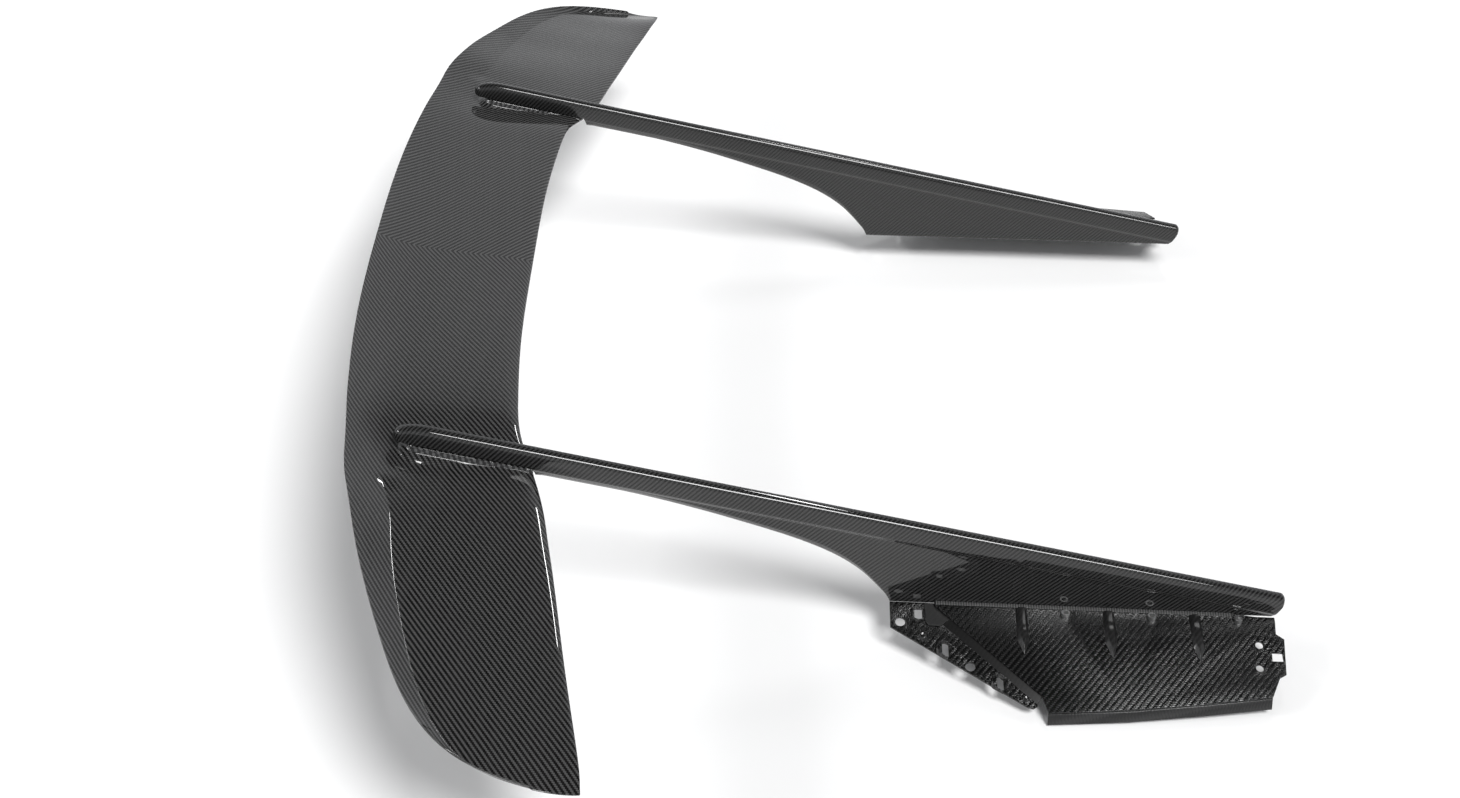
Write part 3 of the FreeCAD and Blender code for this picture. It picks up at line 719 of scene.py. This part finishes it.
@dataclass
class Arm:
    """One arm: a tube with a rounded cap that flares into a fin (mm)."""

    side: Side
    line: ArmLine
    half_cap: float = 10.0
    half_web: float = 7.0
    nose: float = -172.0
    tail: float = 974.0
    foot: float = -5.0
    nose_round: float = 6.0
    chin: float = -158.0
    joint: float = 0.05
    fin_rear: float = 341.0
    tube_start: float = 690.0
    tail_bend: float = 922.0
    tail_fall: float = 20.0
    web_start: float = 33.0
    crown_end: float = 9.0
    cap_share: float = 0.7
    chamfer_lean: float = 0.55
    cloth_stretch: float = 1.02
    foam_share: float = 0.3
    chamfer: tuple = ((341.0, 1.6), (385.0, 8.0), (430.0, 11.0), (520.0, 9.5), (690.0, 8.0),
                      (790.0, 6.5), (803.0, 1.6))
    chamfer_shape: tuple = ((0.02, 0.05), (0.3, 0.3), (0.6, 0.6), (0.9, 0.88), (1.05, 0.96), (1.3, 1.0))
    crown: tuple = ((0.0, 0.0), (0.12, 2.2), (0.45, 4.0), (0.8, 5.0), (1.1, 5.6), (1.6, 6.3), (2.2, 6.9),
                    (3.0, 7.5), (3.8, 7.9), (5.0, 8.4), (6.0, 8.7), (7.5, 9.0), (9.0, 9.25),
                    (14.0, 9.75), (20.0, 9.95), (25.0, 10.0))
    under: SmoothRun = field(init=False)

    def __post_init__(self) -> None:
        """Draw the curve under the arm, from the fin's foot to the tube."""
        depth = ((397, 86), (440, 69), (518, 54), (602, 44), (690, 38))
        ys = [self.fin_rear, 345, 353, 366] + [y for y, _ in depth]
        start = self.line.top(366) - 108
        rise = start - self.foot
        zs = [self.foot, self.foot + rise * 0.24, self.foot + rise * 0.56, start]
        zs += [self.line.top(y) - d for y, d in depth]
        self.under = SmoothRun(ys, zs)

    def top_at(self, y: float) -> float:
        """Height of the skin over the centre plane, rounded at both ends."""
        tip = self.nose + self.nose_round
        if y < tip:
            reach = (tip - y) / self.nose_round
            return self.line.top(y) - self.nose_round * (1 - math.sqrt(max(0, 1 - reach ** 2)))
        if y > self.tail_bend:
            reach = (y - self.tail_bend) / (self.tail - self.tail_bend)
            return self.line.top(y) - self.tail_fall * (1 - math.sqrt(max(0, 1 - reach ** 2.4)))
        return self.line.top(y)

    def bottom_at(self, y: float) -> float:
        """Height of the lowest point at a station."""
        if y < self.chin:
            reach = (self.chin - y) / (self.chin - self.nose)
            tip = self.line.top(self.nose) - self.nose_round - 0.6
            return self.foot + (tip - self.foot) * reach ** 1.25
        if y <= self.fin_rear:
            return self.foot
        if y <= self.tube_start:
            return self.under(y)
        drop = table(y, ((690, 38), (799, 38), (803, 25), (self.line.seat_rear, 25), (self.tail, 24.5)))
        return self.line.top(y) - drop

    def half_width(self, drop: float, y: float) -> float:
        """Half the width at a depth below the top line."""
        wide = table(drop, self.crown)
        if drop > self.line.cap_drop:
            ease = min(1.0, (drop - self.line.cap_drop) / (self.web_start - self.line.cap_drop))
            ease = ease * ease * (3 - 2 * ease)
            wide = self.half_cap + (self.half_web - self.half_cap) * ease
        for end, radius in ((y - self.nose, 4.0), (self.tail - y, self.half_cap)):
            if end < radius:
                wide *= math.sqrt(max(0.015, 1 - (1 - end / radius) ** 2))
        return wide

    def stations(self) -> list[float]:
        """Stations along the arm, close together where its outline turns."""
        n = self.nose
        marks = ((n, 0), (n + 0.25, 1), (n + 1, 2), (n + 6, 8), (n + 14, 8), (-152, 3), (-100, 5),
                 (330, 40), (self.fin_rear, 4), (347, 6), (366, 14), (400, 14), (520, 24),
                 (self.tube_start, 22), (798, 12), (804, 10), (self.tail_bend, 14), (950, 8), (964, 8),
                 (self.tail - 1, 14), (self.tail, 5))
        return steps(marks)

    def levels(self, depth: float, edge: float) -> list[float]:
        """Depths of one half ring, from the top line to its lower edge."""
        crown = [drop for drop, _ in self.crown if drop <= self.crown_end]
        scale = min(1.0, depth * self.cap_share / self.crown_end)
        out = [c * scale for c in crown]
        end = depth - edge
        start = out[-1]
        cap_end = min(self.line.cap_drop, start + (end - start) * self.cap_share)
        crease_end = min(self.web_start, cap_end + (end - cap_end) * 0.8)
        out += [start + (cap_end - start) * k / 5 for k in range(1, 6)]
        out += [cap_end + (crease_end - cap_end) * k / 6 for k in range(1, 7)]
        out += [crease_end + (end - crease_end) * k / 10 for k in range(1, 11)]
        return out

    def half_ring(self, y: float, outward: int) -> tuple[list[Vector], list[tuple[float, float]]]:
        """One closed ring of half the arm.

        Args:
            y: The station.
            outward: 1 for the outboard half, -1 for the inboard one.

        Returns:
            The points and their cloth coordinates.
        """
        top = self.top_at(y)
        low = self.bottom_at(y)
        depth = max(0.5, top - low)
        edge = min(table(y, self.chamfer), depth * 0.25)
        levels = self.levels(depth, edge)
        profile = [(self.half_width(d, y) if k else 0.0, d) for k, d in enumerate(levels)]
        wide = profile[-1][0]
        shift = min(edge * self.chamfer_lean, wide * 0.6)
        for across, down in self.chamfer_shape:
            profile.append((max(0.0, wide - shift * across), levels[-1] + edge * down))
        profile.append((0.0, depth))
        points = []
        cloth = []
        run = 0.0
        before = profile[0]
        for lateral, drop in profile:
            run += math.hypot(lateral - before[0], drop - before[1])
            before = (lateral, drop)
            x = self.line.centre(y) + outward * max(self.joint, lateral)
            points.append(Vector((self.side.value * x, y, top - drop)) * MM)
            cloth.append((run * MM, -y * MM * self.cloth_stretch))
        return points, cloth

    def shell(self, outward: int, name: str) -> Mesh:
        """Mesh of one half of the arm."""
        rings = []
        cloth = []
        for y in self.stations():
            points, lay = self.half_ring(y, outward)
            rings.append(points)
            cloth.append(lay)
        mesh = grid_mesh(name, rings, cloth)
        work = bmesh.new()
        work.from_mesh(mesh)
        return settle(work, mesh)

    def build(self, finishes: Finishes) -> None:
        """Make both halves of the arm."""
        tag = self.side.tag
        halves = (("outboard", 1, finishes.arm), ("inboard", -1, finishes.arm_inside))
        for where, outward, finish in halves:
            name = "arm_%s_%s" % (where, tag)
            mesh = self.shell(outward, name)
            add_piece(name, mesh, finish, ["arm_%s_shell_%s" % (where, tag)], 50)
        add_piece("arm_foam_%s" % tag, self.foam(tag), finishes.foam, ["arm_core_%s" % tag])

    def foam(self, tag: str) -> Mesh:
        """The foam core, thinned to clear the chamfered skins."""
        node = "arm_core_%s" % tag
        mesh = softened_copy(node, "arm_foam_%s" % tag, 0.4 * MM)
        for vertex in mesh.vertices:
            middle = self.side.value * self.line.centre(vertex.co.y / MM) * MM
            vertex.co.x = middle + (vertex.co.x - middle) * self.foam_share
        return mesh


# ---------------------------------------------------------------------- blade
@dataclass(frozen=True)
class Station:
    """One section of the blade (mm); lip is the width of its trailing lip."""

    x: float
    trail_y: float
    trail_z: float
    lead_y: float
    lead_z: float
    share: float
    lip: float

    def crease(self) -> float:
        """Where the lip starts, as a share of the chord."""
        if self.lip == 0:
            return 0.8
        chord = math.hypot(self.trail_y - self.lead_y, self.trail_z - self.lead_z)
        return 1 - (max(self.lip, 14) if self.x < 840 else self.lip) / chord


@dataclass
class Section:
    """The blade's section at one place (mm)."""

    x: float
    lead: Vector
    trail: Vector
    share: float
    crease: float
    camber: float = 0.068
    deepest: float = 0.62
    edge: float = 2.4
    squash: float = 1.0
    lip_start: float = 482.0
    lip_full: float = 512.0

    def point(self, u: float, surface: int, inset: float = 0.0) -> Vector:
        """A point of the skin.

        Args:
            u: Share of the chord from the leading edge.
            surface: 1 above, -1 below.
            inset: Distance inside the outer skin.

        Returns:
            The point.
        """
        reach = self.trail - self.lead
        chord = reach.length
        along = reach / chord
        up = Vector((0, -along.z, along.y))
        poly = 0.2969 * math.sqrt(u) - 0.1260 * u - 0.3516 * u ** 2 + 0.2843 * u ** 3 - 0.1015 * u ** 4
        half = max(5 * self.share * poly * chord, self.edge / 2 * min(1, u * 8)) * self.squash
        half = max(half - inset, half * 0.15)
        folded = -self.camber * (1 - (1 - min(u, self.crease) / self.deepest) ** 2)
        if u > self.crease:
            folded *= (1 - u) / (1 - self.crease)
        turn = self.deepest if u < self.deepest else 1 - self.deepest
        smooth = -self.camber * (1 - ((u - self.deepest) / turn) ** 2)
        fold = min(1.0, max(0.0, (abs(self.x) - self.lip_start) / (self.lip_full - self.lip_start)))
        fold = fold * fold * (3 - 2 * fold)
        bow = smooth + (folded - smooth) * fold
        return self.lead + along * (u * chord) + up * (bow * chord + surface * half)


@dataclass
class Blade:
    """The blade: upper and lower skins with a pad under each arm (mm)."""

    line: ArmLine
    skin: float = 1.8
    tip_round: float = 2.2
    pad_half_width: float = 11.0
    pad_half_length: float = 80.5
    pad_corner: float = 10.45
    pad_reach: float = 50.0
    pad_fade: float = 20.0
    pad_blend: float = 0.9
    gasket: float = 1.0
    pad_side: tuple = ((0, 0), (0.8, 1.5), (2, 4.4), (3.2, 6.0), (5, 7.2), (9, 8.4), (12, 9.4),
                       (14, 11.5), (16, 15), (30, 60))
    stations: tuple = (
        Station(0, 1060, 251, 843, 207, 0.100, 0),
        Station(200, 1056, 250, 840, 209, 0.100, 0),
        Station(320, 1046, 249, 831, 209, 0.100, 0),
        Station(380, 1039, 247, 822, 205, 0.100, 0),
        Station(440, 1031, 244, 801, 191, 0.095, 0),
        Station(500, 1022, 243, 783, 184, 0.090, 50),
        Station(545, 1010, 240, 774, 180, 0.088, 52),
        Station(600, 995, 231, 763, 174, 0.088, 47),
        Station(670, 972, 216, 750, 165, 0.086, 39),
        Station(740, 945, 202, 737, 156, 0.084, 32),
        Station(800, 917, 187, 725, 148, 0.080, 26),
        Station(845, 885, 173, 716, 143, 0.076, 20),
        Station(872, 852, 162, 711, 138, 0.070, 14),
        Station(889, 812, 152, 709, 134, 0.066, 9),
        Station(899, 764, 142, 708, 132, 0.070, 5),
    )
    runs: dict = field(default_factory=dict)
    span: float = 0.0
    pad_middle: float = 876.5

    def __post_init__(self) -> None:
        """Fair every measure of the stations along the span."""
        places = [0.0]
        for a, b in zip(self.stations, self.stations[1:]):
            places.append(places[-1] + math.hypot(b.x - a.x, b.trail_y - a.trail_y))
        self.span = places[-1]
        both = [-p for p in reversed(places[1:])] + places
        mirror = list(reversed(self.stations[1:])) + list(self.stations)
        signs = [-1] * (len(places) - 1) + [1] * len(places)
        self.runs["x"] = SmoothRun(both, [s.x * g for s, g in zip(mirror, signs)])
        self.runs["crease"] = SmoothRun(both, [s.crease() for s in mirror])
        for name in ("trail_y", "trail_z", "lead_y", "lead_z", "share"):
            self.runs[name] = SmoothRun(both, [getattr(s, name) for s in mirror])

    def section(self, place: float) -> Section:
        """The section at a distance along the span."""
        value = {name: run(place) for name, run in self.runs.items()}
        lead = Vector((value["x"], value["lead_y"], value["lead_z"]))
        trail = Vector((value["x"], value["trail_y"], value["trail_z"]))
        return Section(value["x"], lead, trail, value["share"], value["crease"])

    def places(self) -> list[float]:
        """Places along the span, close together at the pads and tips."""
        arm = self.line.centre(self.pad_middle)
        near = ((0, 0), (arm - 50, 32), (arm - 17, 14), (arm - 10, 18), (arm + 10, 8), (arm + 17, 18),
                (arm + 50, 14), (520, 14))
        half = [self.place_of(x) for x in steps(near)]
        half += steps(((half[-1], 0), (850, 60), (self.span - 40, 50), (self.span, 24)))[1:]
        return [-p for p in reversed(half[1:])] + half

    def place_of(self, x: float) -> float:
        """The distance along the span at which the blade is x outboard."""
        low = 0.0
        high = self.span
        for _ in range(40):
            middle = (low + high) / 2
            if self.runs["x"](middle) < x:
                low = middle
            else:
                high = middle
        return (low + high) / 2

    def sections(self) -> list[Section]:
        """All sections, with a rounded end at each tip."""
        inner = [self.section(p) for p in self.places()]
        rounds = [math.radians(a) for a in (25, 45, 62, 75, 85)]
        for end, sign in ((self.section(self.span), 1), (self.section(-self.span), -1)):
            extra = []
            for angle in rounds:
                lift = Vector((sign * self.tip_round * math.sin(angle), 0, 0))
                pull = (end.trail - end.lead) * 0.012 * (1 - math.cos(angle))
                extra.append(Section(end.x + lift.x, end.lead + lift + pull, end.trail + lift - pull,
                                     end.share, end.crease, squash=max(0.1, math.cos(angle))))
            inner = inner + extra if sign > 0 else list(reversed(extra)) + inner
        return inner

    def chord_shares(self, crease: float) -> list[float]:
        """Shares of the chord from the leading to the trailing edge."""
        front = [0.0, 0.0008, 0.0025, 0.006, 0.011, 0.018, 0.027, 0.038, 0.05, 0.064, 0.08]
        middle = [0.08 + (crease - 0.012 - 0.08) * k / 84 for k in range(1, 85)]
        fold = [crease - 0.007, crease - 0.002, crease + 0.002, crease + 0.007]
        start = crease + 0.012
        rear = [start + (1 - start) * k / 12 for k in range(13)]
        return front + middle + fold + rear

    def pad_lift(self, point: Vector) -> Vector:
        """Raise a point of the upper skin where a pad stands over it."""
        cosine = 1 / math.hypot(1, self.line.slope)
        off_pad = abs(abs(point.x) - self.line.centre(self.pad_middle))
        if off_pad > self.pad_reach:
            return point
        follow = min(1.0, (self.pad_reach - off_pad) / self.pad_fade)
        follow *= self.line.toe * (point.y - self.pad_middle)
        point = Vector((point.x - math.copysign(follow, point.x), point.y, point.z))
        lateral = abs(abs(point.x) - self.line.centre(point.y))
        lengthwise = abs(point.y - self.pad_middle) / cosine
        dx = max(lateral - (self.pad_half_width - self.pad_corner), 0)
        dy = max(lengthwise - (self.pad_half_length - self.pad_corner), 0)
        away = math.hypot(dx, dy) - self.pad_corner
        top = self.line.seat(point.y) - (self.gasket + table(max(away, 0), self.pad_side)) / cosine
        gap = max(-1.0, min(1.0, (top - point.z) / self.pad_blend))
        lift = max(0.0, top - point.z) if abs(gap) >= 1 else self.pad_blend * (gap + 1) ** 2 / 4
        return Vector((point.x, point.y, point.z + lift))

    def skin_mesh(self, surface: int, name: str) -> Mesh:
        """Mesh of one skin, outer and inner faces together.

        Args:
            surface: 1 for the upper skin, -1 for the lower one.
            name: The mesh's name.

        Returns:
            The closed mesh.
        """
        rings = []
        cloth = []
        for section in self.sections():
            shares = self.chord_shares(section.crease)
            outer = [section.point(u, surface) for u in shares]
            inner = [section.point(u, surface, self.skin) for u in reversed(shares[1:])]
            run = 0.0
            lay = []
            for k, p in enumerate(outer):
                flat = Vector((0, p.y, p.z))
                run += (flat - Vector((0, outer[k - 1].y, outer[k - 1].z))).length if k else 0.0
                lay.append((section.x * MM, (section.lead.y + run) * MM))
            lay += [(section.x * MM, p.y * MM) for p in inner]
            if surface > 0:
                outer = [self.pad_lift(p) for p in outer]
            rings.append([p * MM for p in outer + inner])
            cloth.append(lay)
        return grid_mesh(name, rings, cloth, flip=surface > 0)

    def build(self, finishes: Finishes) -> None:
        """Make both skins."""
        upper = self.skin_mesh(1, "blade_upper")
        add_piece("blade_upper", upper, finishes.blade, ["blade_upper_skin"], 35)
        lower = self.skin_mesh(-1, "blade_lower")
        add_piece("blade_lower", lower, finishes.blade_under, ["blade_lower_skin"], 35)


# ---------------------------------------------------------------- deck panels
@dataclass
class DeckPanel:
    """The bolted panel at the foot of one fin and what is fixed to it."""

    side: Side
    line: ArmLine

    def build(self, finishes: Finishes) -> None:
        """Make the panel's mouldings with broken edges."""
        tag = self.side.tag
        parts = (
            ("deck_panel", "raw_carbon", finishes.panel, 0.5),
            ("panel_lip", "raw_carbon", finishes.edge, 0.6),
            ("panel_ribs", "raw_carbon", finishes.rib, 1.5),
            ("root_strip", "raw_carbon", finishes.tape, 0.4),
            ("rear_flange", "raw_carbon", finishes.flange, 0.5),
            ("step_wall", "gloss_carbon", finishes.smooth, 0.3),
            ("front_bracket", "raw_carbon", finishes.flange, 0.4),
        )
        for part, slot, finish, width in parts:
            node = "%s_%s" % (part, tag)
            name = "%s_moulding_%s" % (part, tag)
            mesh = softened_copy(node, name, width * MM)
            add_piece(name, mesh, finish, [node], 35)


def panel_spot(side: Side, line: ArmLine, x: float, y: float, height: float, lift: float) -> Vector:
    """A point above or below the tilted plane of the deck panel.

    Args:
        side: The side of the car.
        line: The arm's line, which fixes the plane's crease.
        x: Outboard distance.
        y: Rearward distance.
        height: Height of the surface from the plane.
        lift: Height over that surface.

    Returns:
        The point in metres.
    """
    z = -PANEL_TILT * (x - line.offset) + height + lift
    return Vector((side.value * x, y, z)) * MM


@dataclass
class CornerGusset:
    """Small plate that closes the corner of panel, flange and fin (mm)."""

    side: Side
    line: ArmLine
    top: float = -2.75
    depth: float = 1.6
    outline: tuple = ((440.6, 262), (462, 262), (474, 276), (474, 291), (466, 296), (440.6, 296))

    def build(self, finishes: Finishes) -> None:
        """Make the plate with rounded edges."""
        work = bmesh.new()
        rings = []
        for level, inset in ((0.0, 0.5), (-0.35, 0.1), (-self.depth + 0.35, 0.1), (-self.depth, 0.5)):
            ring = []
            for x, y in self.outline:
                px = x + (457 - x) * inset / 17
                py = y + (279 - y) * inset / 17
                spot = panel_spot(self.side, self.line, px, py, self.top, level)
                ring.append(work.verts.new(spot))
            rings.append(ring)
        join_rings(work, rings)
        name = "corner_gusset_%s" % self.side.tag
        mesh = settle(work, bpy.data.meshes.new(name))
        add_piece(name, mesh, finishes.smooth, [], 30)


@dataclass
class ClipFittings:
    """Raised rims round the clip slots and small bosses on the rear flange (mm)."""

    side: Side
    line: ArmLine
    level: float = -4.5
    rim_height: float = 5.0
    rim_width: float = 1.5
    rim_shape: tuple = ((1.5, -0.2), (1.0, 0.6), (0.6, 0.92), (0.2, 1.0), (-0.2, 0.9), (-0.5, 0.5),
                        (-0.6, -0.2))
    boss_shape: tuple = ((1.5, -0.1), (1.15, 0.25), (1.0, 0.85), (0.85, 1.0), (0.6, 0.95), (0.45, 0.5),
                         (0.1, 0.45))
    slots: tuple = ((458, 304, 15, 15, 180), (509, 271, 18, 15, -57), (555, 203, 18, 14, -57))
    bosses: tuple = ((489.6, 299, 5.0, 3.4), (576, 172, 3.4, 2.6), (516, 252, 2.4, 1.6))

    def spot(self, x: float, y: float, lift: float) -> Vector:
        """A point on the flange, lifted off it."""
        return panel_spot(self.side, self.line, x, y, self.level, lift)

    def rim(self, work: BMesh, x: float, y: float, wide: float, deep: float,
            turn: float) -> None:
        """Add a U-shaped rim that opens to the flange's outer edge.

        Args:
            work: The mesh being built.
            x: Outboard place of the slot.
            y: Rearward place of the slot.
            wide: Width of the U inside.
            deep: Depth of the U inside.
            turn: Direction of the open side, in degrees from outboard.
        """
        path = []
        radius = wide / 2
        for k in range(13):
            angle = math.pi / 2 + math.pi * k / 12
            path.append((-deep * 0.25 + radius * 0.8 * math.cos(angle), radius * math.sin(angle)))
        path = [(deep * 0.7, radius)] + path + [(deep * 0.7, -radius)]
        spin = math.radians(turn)
        rings = []
        for k, (a, b) in enumerate(path):
            before = path[max(0, k - 1)]
            after = path[min(len(path) - 1, k + 1)]
            run = Vector((after[0] - before[0], after[1] - before[1])).normalized()
            side = Vector((-run.y, run.x))
            ring = []
            for reach, lift in self.rim_shape:
                p = Vector((a, b)) - side * reach * self.rim_width
                px = x + p.x * math.cos(spin) - p.y * math.sin(spin)
                py = y + p.x * math.sin(spin) + p.y * math.cos(spin)
                fade = 0.15 if k in (0, len(path) - 1) else 1.0
                ring.append(work.verts.new(self.spot(px, py, lift * self.rim_height * fade)))
            rings.append(ring)
        join_rings(work, rings)

    def boss(self, work: BMesh, x: float, y: float, radius: float, height: float) -> None:
        """Add a dished boss."""
        rings = []
        for reach, lift in self.boss_shape:
            ring = []
            for k in range(24):
                angle = 2 * math.pi * k / 24
                px = x + radius * reach * math.cos(angle)
                py = y + radius * reach * math.sin(angle)
                ring.append(work.verts.new(self.spot(px, py, lift * height)))
            rings.append(ring)
        join_rings(work, rings)

    def build(self, finishes: Finishes) -> None:
        """Make the rims and the bosses as one piece each."""
        tag = self.side.tag
        groups = (("clip_rims", self.slots, self.rim), ("flange_bosses", self.bosses, self.boss))
        for label, sizes, add in groups:
            work = bmesh.new()
            for size in sizes:
                add(work, *size)
            name = "%s_%s" % (label, tag)
            mesh = settle(work, bpy.data.meshes.new(name))
            add_piece(name, mesh, finishes.flange, [], 60)


def join_rings(work: BMesh, rings: Sequence[Sequence[BMVert]]) -> None:
    """Close rings of vertices into a capped tube."""
    count = len(rings[0])
    for a, b in zip(rings, rings[1:]):
        for k in range(count):
            n = (k + 1) % count
            work.faces.new((a[k], a[n], b[n], b[k]))
    work.faces.new(list(reversed(rings[0])))
    work.faces.new(rings[-1])


@dataclass
class Hardware:
    """Parts that keep their CAD shape and get a finish."""

    def build(self, finishes: Finishes) -> None:
        """Dress every CAD node that is still shown."""
        by_slot = {
            "gloss_carbon": finishes.smooth,
            "raw_carbon": finishes.panel,
            "foam": finishes.foam,
            "aluminium": finishes.aluminium,
            "steel": finishes.steel,
            "gasket": finishes.gasket,
        }
        for part in frame["record"]["subparts"]:
            piece = frame["nodes"][part["node"]]
            piece.data.materials.clear()
            piece.data.materials.append(by_slot[part["material_slot"]])
            LOG.info("dressed %s", piece.name)


# --------------------------------------------------------------------- studio
@dataclass
class Studio:
    """Pale floor, soft light and the camera."""

    lens: float = 49.315
    place: tuple = (-2.3354, 0.5694, 1.8138)
    right: tuple = (0.0183, -0.99938, 0.02983)
    up: tuple = (0.6180, 0.03476, 0.78541)
    back: tuple = (-0.78596, 0.00406, 0.61825)
    floor_reach: float = 14.0

    def build(self) -> None:
        """Set up the camera, the floor and the light."""
        bpy.context.scene.view_settings.view_transform = "Standard"
        self.camera()
        self.floor()
        self.light()

    def camera(self) -> None:
        """Place the camera."""
        data = bpy.data.cameras.new("studio_camera")
        data.lens = self.lens
        data.sensor_width = 36.0
        data.sensor_fit = "HORIZONTAL"
        data.clip_start = 0.05
        camera = bpy.data.objects.new("studio_camera", data)
        turn = Matrix((self.right, self.up, self.back)).transposed()
        camera.matrix_world = Matrix.Translation(self.place) @ turn.to_4x4()
        bpy.context.scene.collection.objects.link(camera)
        bpy.context.scene.camera = camera

    def floor(self) -> None:
        """Lay the floor under the wing."""
        low = CAD_BOX[0][2] - 0.002
        mesh = bpy.data.meshes.new("studio_floor")
        corners = [(x * self.floor_reach, y * self.floor_reach, low)
                   for x, y in ((-1, -1), (1, -1), (1, 1), (-1, 1))]
        mesh.from_pydata(corners, [], [(0, 1, 2, 3)])
        material, bench, shader = blank_material("pale_floor")
        place = bench.add("ShaderNodeNewGeometry").outputs["Position"]
        tone = bench.noise(place, 3.0, 2.0)
        bench.feed(shader.inputs["Base Color"], bench.blend(tone, grey(0.86), grey(0.88)))
        shader.inputs["Roughness"].default_value = 0.9
        mesh.materials.append(material)
        floor = bpy.data.objects.new("studio_floor", mesh)
        bpy.context.scene.collection.objects.link(floor)

    def light(self) -> None:
        """Hang the lamps and light the room."""
        boxes = (
            ("strip_front", (1.77, -0.51, 2.45), (-0.66, 0.95, 0.23), 0.8, 0.1, 10.0, -33.0),
            ("box_rear", (-0.6, 4.2, 2.4), (0.0, 0.6, 0.15), 2.0, 0.5, 50.0, 0.0),
        )
        for name, place, aim, wide, deep, power, roll in boxes:
            data = bpy.data.lights.new(name, "AREA")
            data.shape = "RECTANGLE"
            data.size = wide
            data.size_y = deep
            data.energy = power
            self.hang(data, place, Vector(aim) - Vector(place), roll)
        data = bpy.data.lights.new("ceiling_panel", "SUN")
        data.energy = 3.0
        data.angle = math.radians(24)
        self.hang(data, (-2.0, 0.6, 4.2), Vector((0.43, 0.33, -0.84)))
        self.room()

    def hang(self, data: Light, place: tuple, direction: Vector, roll: float = 0.0) -> None:
        """Hang a lamp, shining along a direction and rolled by some degrees about it."""
        lamp = bpy.data.objects.new(data.name, data)
        lamp.rotation_mode = "QUATERNION"
        turn = Quaternion((0, 0, 1), math.radians(roll))
        lamp.rotation_quaternion = direction.to_track_quat("-Z", "Y") @ turn
        lamp.location = place
        bpy.context.scene.collection.objects.link(lamp)

    def room(self) -> None:
        """Colour the room by height: pale at the sides, dark overhead."""
        world = bpy.data.worlds.new("studio_room")
        world.use_nodes = True
        world.node_tree.nodes.clear()
        bench = NodeBench(world.node_tree)
        background = bench.add("ShaderNodeBackground")
        direction = bench.add("ShaderNodeSeparateXYZ")
        bench.feed(direction.inputs[0], bench.add("ShaderNodeTexCoord").outputs["Generated"])
        ramp = bench.add("ShaderNodeValToRGB")
        ramp.color_ramp.interpolation = "EASE"
        bands = ((0.0, 0.75), (0.25, 0.68), (0.55, 0.58), (0.74, 0.05), (1.0, 0.05))
        stops = ramp.color_ramp.elements
        while len(stops) < len(bands):
            stops.new(0.5)
        for stop, (height, level) in zip(stops, bands):
            stop.position = height
            stop.color = (level * 0.97, level * 0.98, level, 1.0)
        bench.feed(ramp.inputs["Fac"], direction.outputs[2])
        bench.feed(background.inputs["Color"], ramp.outputs["Color"])
        background.inputs["Strength"].default_value = 1.0
        output = bench.add("ShaderNodeOutputWorld")
        bench.feed(output.inputs["Surface"], background.outputs[0])
        bpy.context.scene.world = world


def main() -> None:
    """Build the scene."""
    logging.basicConfig(level=logging.INFO, format="%(message)s")
    Studio().build()
    finishes = Finishes()
    line = ArmLine()
    Hardware().build(finishes)
    Blade(line).build(finishes)
    for side in Side:
        Arm(side, line).build(finishes)
        DeckPanel(side, line).build(finishes)
        ClipFittings(side, line).build(finishes)
        CornerGusset(side, line).build(finishes)


if __name__ == "__main__":
    main()
